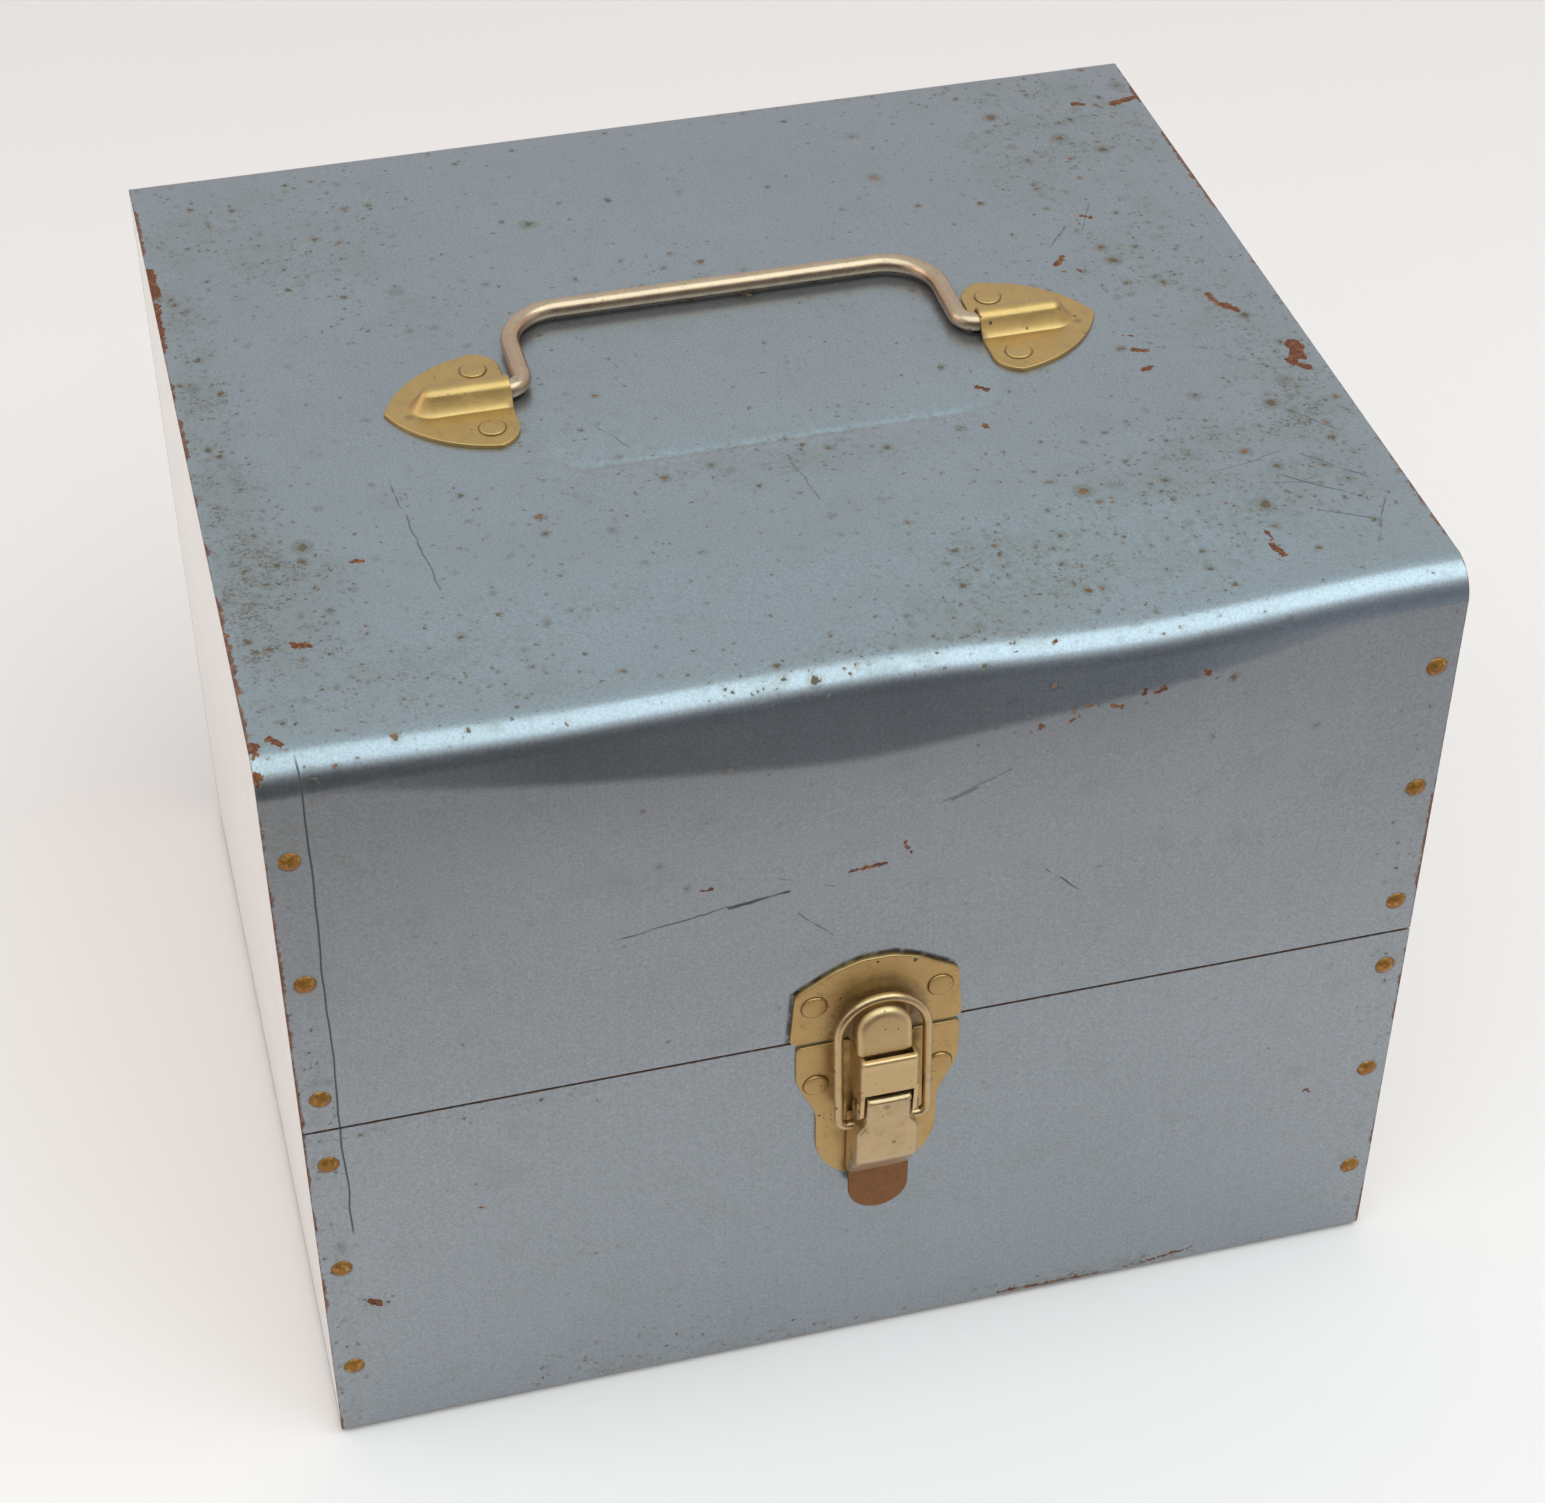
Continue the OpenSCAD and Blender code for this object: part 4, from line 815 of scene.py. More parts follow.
def tray_coat(colour):
    """Pale grey-blue enamel on thin sheet: light orange-peel, pale hairlines and a few brown flecks."""
    c = Coat("tray_enamel", Coat_Weight=0.3, Coat_Roughness=0.2)
    peel = c.noise(1.4, 2)
    cloud = c.noise(30, 3)
    away, chance, _ = c.cells(7)
    fleck = c.step((chance ** 7) * 1.4 - away, 0.0, 0.2)
    hair = c.step(c.noise((22, 0.5, 0.5), 1, at=c.shaken(25, 4)), 0.72, 0.78) * 0.4
    base = c.varied(cloud, colour, 0.93, 1.05)
    base = c.mix(hair, base, (0.68, 0.70, 0.72))
    base = c.mix(fleck * 0.8, base, (0.16, 0.09, 0.05))
    return c.finish(Base_Color=base, Metallic=0.15, Roughness=0.36 + cloud * 0.08 + fleck * 0.3,
                    Normal=c.bump(peel * 0.6 - fleck * 0.5 - hair * 0.4, 0.05, 0.5))


# ---------- settings ----------

def length(name, description, default, **more):
    return bpy.props.FloatProperty(name=name, description=description, default=default,
                                   min=0.0, unit="LENGTH", precision=5, **more)


def share(name, description, default):
    return bpy.props.FloatProperty(name=name, description=description, default=default,
                                   min=0.0, max=1.0, subtype="FACTOR")


def paint(name, description, default):
    return bpy.props.FloatVectorProperty(name=name, description=description, default=default,
                                         size=3, min=0.0, max=1.0, subtype="COLOR")


class SheetSettings(bpy.types.PropertyGroup):
    """Shape and wear of the two blue sheets"""
    colour: paint("Lacquer colour", "Colour of the metallic lacquer", (0.305, 0.325, 0.352))
    wave: length("Waves", "Depth of the shallow waves in the sheet", 0.00010)
    soft_turn: bpy.props.FloatProperty(
        name="Soft bend turn", subtype="ANGLE", default=math.radians(8.5),
        description="How far the front turns at the soft crease below the lid's bend")
    dent: length("Handle mark depth", "Depth of the mark that the handle leaves on the lid", 0.00028)
    wear: share("Wear", "How strongly the rust specks show", 1.0)


class WoodSettings(bpy.types.PropertyGroup):
    """Wooden ends, rails and tray wood"""
    white: paint("End colour", "Colour of the painted ends", (0.77, 0.715, 0.685))
    pine: paint("Bare wood colour", "Colour of the rails and the trays' wood", (0.66, 0.47, 0.28))
    edge: length("Eased edge", "Radius of the sanded edges", 0.0005)


class HardwareSettings(bpy.types.PropertyGroup):
    """Handle, latch, hinges and nails"""
    gold: paint("Plating colour", "Colour of the satin gold plates", (0.50, 0.305, 0.105))
    wire: paint("Wire colour", "Colour of the handle and the latch's loop", (0.51, 0.355, 0.235))
    plate: length("Plate thickness", "Thickness of the handle and latch plates", 0.0009)
    edge: length("Rolled edge", "Radius of the plates' worn edges", 0.0003)
    rivet: length("Rivet head height", "How far the flat rivet heads stand out", 0.00042)
    swell: length("Swelling", "How far the catch plate swells round its nose", 0.0014)


class TraySettings(bpy.types.PropertyGroup):
    """The two lift-out trays"""
    colour: paint("Tray colour", "Colour of the enamelled tray sheet", (0.50, 0.55, 0.58))


class StageSettings(bpy.types.PropertyGroup):
    """Floor, lamps and camera"""
    floor: paint("Floor colour", "Colour of the pale floor", (0.92, 0.865, 0.84))
    sky: share("Room light", "Strength of the light from all round", 0.62)
    key: bpy.props.FloatProperty(name="Overhead lamp", unit="POWER", default=16.0, min=0.0,
                                 description="Power of the large lamp over the box")


# ---------- sheets ----------

# Radii of the bends at the lid's front, at its back and at the base's floor
BEND_R, BACK_BEND_R, BASE_BEND_R = 8.0, 1.6, 2.6
# Soft crease under the lid's front bend: depth in the middle, how fast it rises, x of the middle
CREASE_DEPTH, CREASE_RISE, CREASE_X = 23.0, 0.137, -5.0
# Bulge of the lid's front, sag of its top near the bend, and depth and x of the dent in that edge
BULGE, SAG, EDGE_DENT, EDGE_DENT_X = 1.6, 0.8, 2.0, 50.0
# Gaps from the seam to the rims of the lid and the base, and columns of points across a sheet
LID_GAP, BASE_GAP, COLUMNS = 0.42, 0.20, 129


def mark_distance(x, y):
    """Distance to the outline of a box with round corners, where the handle strikes the lid when
    it falls forwards: the handle's own line, mirrored to the front."""
    half_x, half_y, corner, middle = 50.8, 26.0, 10.0, -4.0
    qx, qy = np.abs(x) - (half_x - corner), np.abs(y - middle) - (half_y - corner)
    outside = np.hypot(np.maximum(qx, 0), np.maximum(qy, 0)) + np.minimum(np.maximum(qx, qy), 0)
    return np.abs(outside - corner)


def mark_strength(x, y):
    """Where the handle's mark is clear: along its bar, fading up the two legs."""
    return ease((-y - 6) / 16) * ease((54 - np.abs(x)) / 6) * (0.55 + 0.45 * ease((46 - np.abs(x + 2)) / 14))


def crease_depth(x):
    """Depth of the soft crease below the lid's top: deepest in the middle, less by a share of the
    distance from there towards both ends."""
    return CREASE_DEPTH - CREASE_RISE * np.hypot(x - CREASE_X, 12)


def lid_profile(x, soft_turn):
    """Outer line of the lid from front rim over the top to the back rim, one column per x.
    The heading turns from upright to level: a quick small turn at the crease, a slow run above it,
    then evenly round the bend. The running sums of its sine and cosine give y and z. Smooth steps
    then bring in the bulge and the sag, and a bell the dent."""
    depth = crease_depth(x)
    soft = np.clip((depth - BEND_R + 1) / 14, 0, 1)
    first_turn = soft_turn * np.clip(soft * 1.9, 0, 1) ** 0.7
    last_turn = first_turn * 1.22
    crease = 0.7 + 2.7 * np.minimum(1, soft * 3)
    rise = BEND_R * (1 - np.sin(last_turn))
    slow = np.maximum(depth - crease / 2 - rise, 0.5)
    f, g, h = np.linspace(0, 1, 11)[:, None], np.linspace(0, 1, 11)[1:, None], np.linspace(0, 1, 21)[1:, None]
    heading = np.vstack([first_turn * ease(f), first_turn + (last_turn - first_turn) * g,
                         last_turn + (np.pi / 2 - last_turn) * h])
    way = np.vstack([crease * f, crease + slow * g, crease + slow + BEND_R * (np.pi / 2 - last_turn) * h])
    middle, stride = (heading[1:] + heading[:-1]) / 2, np.diff(way, axis=0)
    y = FRONT + np.vstack([0 * x, np.cumsum(np.sin(middle) * stride, 0)])
    z = np.vstack([0 * x, np.cumsum(np.cos(middle) * stride, 0)])
    z = z + TOP - z[-1]
    up = np.linspace(0, 1, 44)[:-1, None]
    rim = SEAM + LID_GAP
    front_y, front_z = FRONT + 0 * up * x, rim + up * (z[0] - rim)
    back_start = BACK - BACK_BEND_R
    near = np.linspace(0, 1, 6)[1:, None]
    far = np.concatenate([np.linspace(-92, -37, 26), np.arange(-36.0, -24.0, 0.6),
                          np.linspace(-23.5, back_start, 52)])[:, None]
    top_y = np.vstack([y[-1] + (-94.5 - y[-1]) * near, far + 0 * x])
    q = np.linspace(0, np.pi / 2, 8)[1:, None]
    down = np.linspace(0, 1, 34)[1:, None]
    low_z = TOP - BACK_BEND_R
    ys = [front_y, y, top_y, back_start + BACK_BEND_R * np.sin(q) + 0 * x, BACK + 0 * down * x]
    zs = [front_z, z, TOP + 0 * top_y, low_z + BACK_BEND_R * np.cos(q) + 0 * x,
          low_z + (rim - low_z) * down + 0 * x]
    y, z = np.vstack(ys), np.vstack(zs)
    held = ease((SIDE - 8 - np.abs(x)) / 60)
    bulge = BULGE * held * ease((z - SEAM - 26) / 56) * ease((-95 - y) / 12)
    near_edge = ease((z - 178) / 20) * ease((-64 - y) / 46)
    return y - bulge, z - (SAG * held + EDGE_DENT * bell((x - EDGE_DENT_X) / 32)) * near_edge


def base_profile(x):
    """Outer line of the base from the front rim down, under the floor and up to the back rim."""
    r = BASE_BEND_R
    rim = SEAM - BASE_GAP
    down = np.linspace(0, 1, 40)[:-1, None]
    q = np.linspace(0, np.pi / 2, 9)[:, None]
    under = np.linspace(0, 1, 36)[1:-1, None]
    ys = [FRONT + 0 * down, FRONT + r - r * np.cos(q), FRONT + r + (BACK - FRONT - 2 * r) * under,
          BACK - r + r * np.sin(q), BACK + 0 * down]
    zs = [rim + (r - rim) * down, r - r * np.sin(q), 0 * under, r - r * np.cos(q),
          r + (rim - r) * np.linspace(0, 1, 40)[1:, None]]
    return np.vstack(ys) + 0 * x, np.vstack(zs) + 0 * x


def sheet_points(x, y, z, wave, seed, extra=None):
    """Outside and inside of a bent sheet. The outward normal is the line's heading turned a quarter;
    the outside is pushed in along it by shallow waves, and the inside lies one thickness further in."""
    dy, dz = np.gradient(y, axis=0), np.gradient(z, axis=0)
    heading = unit(np.stack([dy, dz], -1))
    middle_y, middle_z = (FRONT + BACK) / 2, (z.min() + z.max()) / 2
    normal = np.stack([-heading[..., 1], heading[..., 0]], -1)
    outward = np.sign((normal[..., 0] * (y - middle_y) + normal[..., 1] * (z - middle_z)).mean())
    normal = normal * outward
    along = np.vstack([0 * x, np.cumsum(np.hypot(np.diff(y, axis=0), np.diff(z, axis=0)), 0)])
    held = ease((SIDE - 4 - np.abs(x)) / 18) * ease(along / 14) * ease((along[-1] - along) / 14)
    push = wave * (0.5 + 0.5 * ripples(x + 0 * along, along, seed, 12, 34, 110)) * held
    if extra is not None:
        push = push + extra
    gx = x + 0 * y
    outside = np.stack([gx, y - normal[..., 0] * push, z - normal[..., 1] * push], -1)
    inner = push + SHEET
    return outside, np.stack([gx, y - normal[..., 0] * inner, z - normal[..., 1] * inner], -1)


def add_scuff(piece, amounts):
    """Stores how much the lacquer is scuffed at each point, after the mesh is made."""
    co = np.zeros(len(piece.data.vertices) * 3, np.float32)
    piece.data.vertices.foreach_get("co", co)
    co = co.reshape(-1, 3) / MM
    mark = piece.data.attributes.new("scuff", "FLOAT", "POINT")
    mark.data.foreach_set("value", amounts(co).astype(np.float32))


def lid_scuff(p):
    """Pale rub marks on the lid: along the handle's mark and below its ends."""
    x, y, z = p[:, 0], p[:, 1], p[:, 2]
    line = bell(mark_distance(x, y) / 1.7) * mark_strength(x, y)
    rub = patches(x, y, [(-40, -24, 16, 14, 0.5), (40, -24, 14, 12, 0.4), (0, -31, 46, 3.2, 0.5)])
    return np.clip((line + rub) * ease((z - TOP + 2) / 1.5), 0, 1)


class SEWINGBOX_OT_sheets(bpy.types.Operator):
    """Bend the blue sheets of the base and the lid"""
    bl_idname = "sewing_box.sheets"
    bl_label = "Blue sheets"

    def execute(self, context):
        s = context.scene.sewing_box_sheets
        coats = [lacquer_coat(tuple(s.colour), s.wear), edge_rust_and_seam_shade_coat()]
        x = np.linspace(-SIDE, SIDE, COLUMNS)
        y, z = base_profile(x)
        outside, inside = sheet_points(x, y, z, s.wave / MM, SEED + 2)
        skin = Skin().sheet(outside, inside, 1, rust=speck_density(outside) + OUTER_MARK)
        base = make_piece("base_sheet", skin, coats, "base", ["base_shell"])
        add_scuff(base, lambda p: 0 * p[:, 0])
        y, z = lid_profile(x, s.soft_turn)
        on_top = ease((z - TOP + 1.5) / 1.0)
        groove = bell(mark_distance(x, y) / 0.8) + 0.6 * bell(mark_distance(x, y) / 4.5)
        uneven = 1 + 0.4 * ripples(x, y, SEED + 3, 6, 4, 14)
        dent = s.dent / MM * groove * mark_strength(x, y) * on_top * uneven
        outside, inside = sheet_points(x, y, z, s.wave / MM, SEED + 4, dent)
        skin = Skin().sheet(outside, inside, 1, rust=speck_density(outside) + OUTER_MARK)
        lid = make_piece("lid_sheet", skin, coats, "lid", ["lid_shell"])
        add_scuff(lid, lid_scuff)
        return {"FINISHED"}


# ---------- wooden ends and nails ----------

# Room between the bends of the sheet and the corners of the ends
END_GAP = 0.3


class SEWINGBOX_OT_ends(bpy.types.Operator):
    """Cut and paint the four wooden ends"""
    bl_idname = "sewing_box.ends"
    bl_label = "Wooden ends"

    def execute(self, context):
        s = context.scene.sewing_box_wood
        coat = white_wood_coat(tuple(s.white))
        edge = s.edge / MM
        small = edge + 0.7
        radii = {"lid": [small, small, BACK_BEND_R - SHEET + END_GAP, BEND_R - SHEET + END_GAP],
                 "base": [BASE_BEND_R - SHEET + END_GAP] * 2 + [small, small]}
        for body in ("base", "lid"):
            for hand in ("left", "right"):
                make_board(f"{body}_wood_{hand}", f"{body}_end_{hand}", coat, body, edge,
                           radii[body])
        return {"FINISHED"}


class SEWINGBOX_OT_nails(bpy.types.Operator):
    """Drive the domed brass nails"""
    bl_idname = "sewing_box.nails"
    bl_label = "Nails"

    def execute(self, context):
        coat = nail_coat()
        rng = np.random.default_rng(SEED + 5)
        for body in ("base", "lid"):
            skin = Skin()
            for side in (-1, 1):
                for way, y in (("front", FRONT), ("back", BACK)):
                    for z in nail_heights(f"{body}_nails"):
                        head = turned(dome_outline(NAIL_R * 0.99, NAIL_H * 0.97, 0.35), 32)
                        dents = 0.05 * ripples(head[..., 0] + z, head[..., 1] + side, 3, 4, 1.6, 4)
                        head[..., 2] -= (0.05 + dents) * ease(head[..., 2] / 0.5)
                        head = tilted(head, rng, 0.012)
                        skin.grid(facing(head, (side * NAIL_X, y, z), way), wrap=True)
            make_piece(f"{body}_nail_heads", skin, [coat], body, [f"{body}_nails"], 50)
        return {"FINISHED"}


# ---------- handle ----------

# Wire: how far its legs stand off the plates, and the radii of its bends at the pins and the bar
LEG_GAP, PIN_TURN_R, BAR_BEND_R = 3.6, 4.6, 13.0
# Barrel of a plate: radius, height of its walls, half width of its fillets and length
BARREL_R, BARREL_WALL, BARREL_FILLET, BARREL_END = 3.6, 0.5, 1.2, 17.2
# Outline of a plate: radii of its sides and its corners, and the centre of its rings of points
SHIELD_SIDE_R, SHIELD_CORNER_R, SHIELD_MIDDLE = 29.2, 7.5, (12.0, 0.0)
RIVET_R = 2.95


def handle_outline(length_, width, side_r, corner_r, count=380):
    """Shield: two arcs of one radius meet at the tip; the open edge is straight with round corners.
    The half width is the lesser of the corner's arc and the side's arc at each distance along."""
    along = length_ * (1 - np.cos(np.linspace(0, np.pi, 200))) / 2
    arc_y = side_r - width / 2
    arc_x = length_ - math.sqrt(side_r ** 2 - arc_y ** 2)
    side = np.sqrt(np.maximum(side_r ** 2 - (along - arc_x) ** 2, 0)) - arc_y
    back = np.maximum(corner_r - along, 0)
    corner = width / 2 - corner_r + np.sqrt(np.maximum(corner_r ** 2 - back ** 2, 0))
    half = np.maximum(np.minimum(side, corner), 0)
    loop = np.vstack([[[0, 0]], np.stack([along, half], -1), np.stack([along, -half], -1)[::-1]])
    return even_line(loop, count, closed=True)


def barrel_level(plate_t, rise):
    """Height of the pressed plate at each (along, across): a barrel of half circles on short walls,
    averaged over a small width for its fillets, stands on the flat plate and ends in a blunt nose."""
    def level(a, b):
        past = np.maximum(a - BARREL_END, 0) * 0.85
        off = [np.hypot(b, past) + d for d in np.linspace(-BARREL_FILLET, BARREL_FILLET, 17)]
        arc = [BARREL_WALL * (np.abs(d) < BARREL_R) + np.sqrt(np.maximum(BARREL_R ** 2 - d ** 2, 0))
               for d in off]
        return plate_t + np.mean(arc, 0) * rise / (BARREL_WALL + BARREL_R) * 1.012
    return level


def handle_line(pin_x, leg_x, bar_y):
    """The wire's line from one pin to the other, with a slight sway in its bar and legs."""
    line = bent_line([(pin_x, 0), (leg_x, 0), (leg_x, bar_y), (-leg_x, bar_y), (-leg_x, 0), (-pin_x, 0)],
                     [PIN_TURN_R, BAR_BEND_R, BAR_BEND_R, PIN_TURN_R], 22)
    line = even_line(line, 300)
    sway = 0.12 * ripples(line[:, 0], line[:, 1], SEED + 7, 4, 30, 80) * ease((line[:, 1] - 8) / 14)
    return np.stack([line[:, 0], line[:, 1] - 0.12 + sway], -1)


class SEWINGBOX_OT_handle(bpy.types.Operator):
    """Press the handle's plates, set their rivets and bend its wire"""
    bl_idname = "sewing_box.handle"
    bl_label = "Handle"

    def execute(self, context):
        s = context.scene.sewing_box_hardware
        gold, plate_t = tuple(s.gold), s.plate / MM
        low, high = cad_box("handle_plate_right")
        outline = handle_outline(high[0] - low[0], high[1] - low[1], SHIELD_SIDE_R, SHIELD_CORNER_R)
        level = barrel_level(plate_t, high[2] - TOP - plate_t)
        faces = pressed_plate(outline, SHIELD_MIDDLE, level, plate_t, s.edge / MM, 84)
        rivet_x, rivet_y, _ = cad_box("handle_rivets")[1] - RIVET_R
        places = [(a * rivet_x, b * rivet_y, TOP + plate_t) for a in (-1, 1) for b in (-1, 1)]
        rings = [(*at, RIVET_R + 0.1, 0.30, 0.8) for at in places]
        # Darker beside the barrels' mouths and before their closed ends: grime, and painted shade of the
        # barrels
        grime_and_shade = [(a * low[0], b * 4.6, TOP + 1, 1.8) for a in (-1, 1) for b in (-1, 1)]
        grime_and_shade += both_hands(low[0] + BARREL_END + 6, -3, TOP + 1, 1.6)
        coat = gold_coat("handle_gold", gold, (0.46, 0.29, 0.10), 1.2, 0.40, grime_and_shade, rings)
        for hand, side in (("left", -1), ("right", 1)):
            placed = [on_lid((p + [low[0], 0, 0]) * [side, 1, 1]) for p in faces]
            make_piece(f"handle_shield_{hand}", Skin().sheet(*placed, wrap=True), [coat], "lid",
                       [f"handle_plate_{hand}"])
        rivet = s.rivet / MM
        skin = heads(places, "top", disc_outline(RIVET_R, rivet, rivet * 0.8, 0.3), 40,
                     np.random.default_rng(SEED + 6))
        make_piece("handle_rivet_heads", skin, [gold_coat("rivet_gold", gold, (0.50, 0.38, 0.20), 1.4, 0.40)],
                   "lid", ["handle_rivets"])
        wire_low, wire_high = cad_box("handle_bail")
        wire_r = (wire_high[2] - wire_low[2]) / 2
        line = handle_line(wire_high[0] - wire_r * 0.6, low[0] - LEG_GAP, wire_high[1] - wire_r)
        line = np.hstack([line, np.full((len(line), 1), (wire_low[2] + wire_high[2]) / 2)])
        skin = Skin().grid(tube(line, wire_r - 0.01, (0, 0, 1), 32), wrap=True)
        wire = gold_coat("bail_wire", tuple(s.wire), (0.44, 0.31, 0.21), 0.8, 0.28)
        make_piece("handle_wire", skin, [wire], "handle", ["handle_bail"])
        return {"FINISHED"}


# ---------- draw latch ----------

# Plating and tarnish of the plates, and how far the pieces on the base sit to the right
LATCH_GOLD, LATCH_TARNISH = (0.53, 0.335, 0.125), (0.43, 0.255, 0.085)
LATCH_SHIFT = 0.6
# Nose: half width, heights of its top and foot; inset of its sides, lean, rounding and reach
NOSE_W, NOSE_TOP, NOSE_FOOT = 6.3, 12.6, 0.15
NOSE_SEAT, NOSE_LEAN, NOSE_SOFT, NOSE_EXTRA = 0.4, 1.2, 1.8, 0.9
# Base plate: half width of its waist, how far down its round end starts, gap under the seam
WAIST, BELLY, TOP_GAP = 14.1, 32.0, 1.2
# Bracket: half width, reach, sheet, heights of its top and foot; its ears and the pin's caps
BRACKET_HALF, BRACKET_OUT, BRACKET_SHEET = 6.6, 10.5, 1.0
BRACKET_TOP, BRACKET_FOOT = 0.35, -10.2
EAR_R = CAP_R = 2.45
# Lever: heights of its knee and foot, lowest point and half width of its thumb tab; half widths
# above and below its neck, radius of its rolled top, sheet
KNEE, LEVER_FOOT, TAB_LOW, TAB_HALF = -32.0, -41.0, -54.0, 7.05
NECK, WIDE, LEVER_ROLL, LEVER_SHEET = 5.15, 7.15, 0.9, 1.0
LOOP_R = 1.1


def mirrored_loop(right, radii):
    """Closed outline from its right half, given from bottom middle to top middle, with rounded corners."""
    corners = right + [(-a, b) for a, b in right[::-1]]
    return even_line(bent_line(corners, radii + radii[::-1])[:-1], 240, closed=True)


def base_plate_outline(half_w, length_):
    """Shoulders, an eased narrowing to the waist, and a half ellipse at the bottom."""
    d = np.concatenate([np.linspace(TOP_GAP + 1.3, BELLY - 1, 60),
                        BELLY + (length_ - BELLY) * np.sin(np.linspace(0, np.pi / 2, 40))])
    half = WAIST + (half_w - WAIST) * (1 - ease((d - 10.5) / 14.5))
    low = np.clip((d - BELLY) / (length_ - BELLY), 0, 1)
    half = np.where(d > BELLY, WAIST * np.sqrt(1 - low ** 2), half)
    corner = np.linspace(0, np.pi / 2, 8)[:-1, None]
    rounded = np.hstack([half_w - 1.3 + 1.3 * np.sin(corner), -TOP_GAP - 1.3 + 1.3 * np.cos(corner)])
    half_line = np.vstack([[[0, -TOP_GAP]], rounded, np.stack([half, -d], -1)])
    return even_line(np.vstack([half_line, (half_line * [-1, 1])[::-1][1:-1]]), 260, closed=True)


def arch_outline(inset):
    """Nose seen from the front, drawn inset: half-round top, upright sides, small corners at the foot."""
    w, top, foot = NOSE_W - inset, NOSE_TOP - inset, NOSE_FOOT + max(inset, 0) * 0.6
    line = bent_line([(0, foot), (w, foot), (w, top), (-w, top), (-w, foot), (0, foot)],
                     [0.7, w - 0.01, w - 0.01, 0.7], 16)
    return even_line(line[:-1], 140, closed=True)


def u_line(half, foot, out, radius, count):
    """Line of a U that opens towards the box: out along one side, round two corners and back."""
    corners = [(half, foot), (half, out), (-half, out), (-half, foot)]
    return even_line(bent_line(corners, [radius] * 2, 8), count)


def loft(rows):
    """Grid whose rows are (line, out) pairs: each line of (across, up) at its own distance out."""
    return np.stack([np.concatenate([line, np.full((len(line), 1), out)], 1) for line, out in rows])


def flat_cheek(outline, centre, x0, x1, edge):
    """Flat plate standing square to the front, between two x places: outline is (out, up)."""
    faces = pressed_plate(outline, centre, lambda a, b: (x1 - x0) + 0 * a, x1 - x0, edge, 6)
    return [np.stack([x0 + p[..., 2], p[..., 1], p[..., 0]], -1) for p in faces]


def front_sheet(skin, outside, inside, wrap=True, shift=LATCH_SHIFT):
    """Adds a sheet on the front to a skin, from its two (across, up, out) grids."""
    return skin.sheet(on_front(outside, shift), on_front(inside, shift), wrap=wrap)


def catch_skin(half_w, crown, nose_out, plate_t, edge, swell):
    """Catch plate and its nose. The nose is arches stacked outwards: they flare at the plate, roll over
    in a quarter round at the top, and lean out towards the seam."""
    def level(a, b):
        """Plate plus a swelling that falls off as a bell with the distance from the nose's seat."""
        arch = np.hypot(a, np.maximum(b - (NOSE_TOP - NOSE_W), 0)) - NOSE_W
        return plate_t + swell * bell(np.maximum(arch, 0) / 3.4) * ease(b / 5)

    right = [(0, 0.0), (half_w, 0.0), (half_w - 1.2, 15.0), (9.5, 20.5), (3.5, crown + 0.3)]
    outline = mirrored_loop(right, [1.5, 2.6, 10.0, 8.0])
    skin = front_sheet(Skin(), *pressed_plate(outline, (0.0, 9.0), level, plate_t, edge, 44), shift=0.0)
    shoulder = nose_out - NOSE_SOFT
    rows = [(arch_outline(-0.9), plate_t * 0.6), (arch_outline(-0.1), plate_t + swell * 0.9),
            (arch_outline(NOSE_SEAT), plate_t + swell + 0.5), (arch_outline(NOSE_SEAT), shoulder - 0.6),
            (arch_outline(0.1), shoulder - 0.15)]
    rows += [(arch_outline(NOSE_SOFT * (1 - math.cos(a))), shoulder + NOSE_SOFT * math.sin(a))
             for a in np.linspace(0, np.pi / 2, 9)]
    flat, middle = arch_outline(NOSE_SOFT), np.array([0, 6.0])
    rows += [(middle + (flat - middle) * f, nose_out + 0.10 * (1 - f)) for f in (0.94, 0.7, 0.4, 0.0)]
    nose = loft(rows)
    lean = ease((nose[..., 2] - plate_t - 1) / (nose_out - plate_t - 2))
    nose[..., 2] += NOSE_LEAN * lean * (1 - np.clip(nose[..., 1] / (NOSE_TOP - 1.5), 0, 1)) ** 0.9
    return skin.grid(on_front(nose), wrap=True)


def base_plate_skin(shoulder, length_, plate_t, edge, pin_out, pin_up):
    """Base plate with a shallow raised field, its bracket and the two ears that hold the pin."""
    def level(a, b):
        """Plate plus a flat-topped bell under the bracket, eased in and out along its length."""
        field = bell(np.maximum(np.abs(a) - 6.0, 0) / 2.6) * ease((b + 30) / 10) * ease((-b - 2) / 4)
        return plate_t + 0.35 * field

    outline = base_plate_outline(shoulder, length_)
    skin = front_sheet(Skin(), *pressed_plate(outline, (0.0, -20.0), level, plate_t, edge, 40))
    front_sheet(skin, *bracket_faces(), wrap=False)
    turn = np.linspace(0, -np.pi, 20)
    lobe = np.stack([pin_out + EAR_R * np.cos(turn), pin_up + EAR_R * np.sin(turn)], -1)
    ear = np.vstack([[[BRACKET_OUT, BRACKET_FOOT + 1.4], [BRACKET_OUT, BRACKET_FOOT - 0.4]], lobe,
                     [[pin_out - EAR_R, pin_up + 1.0], [0.6, BRACKET_FOOT - 1.2], [0.6, BRACKET_FOOT + 1.4]]])
    ear = even_line(ear, 110, closed=True)
    inner, outer = BRACKET_HALF - BRACKET_SHEET, BRACKET_HALF - 0.01
    for x0, x1 in ((inner, outer), (-outer, -inner)):
        front_sheet(skin, *flat_cheek(ear, (pin_out - 2.2, BRACKET_FOOT - 2.2), x0, x1, 0.2))
    return skin


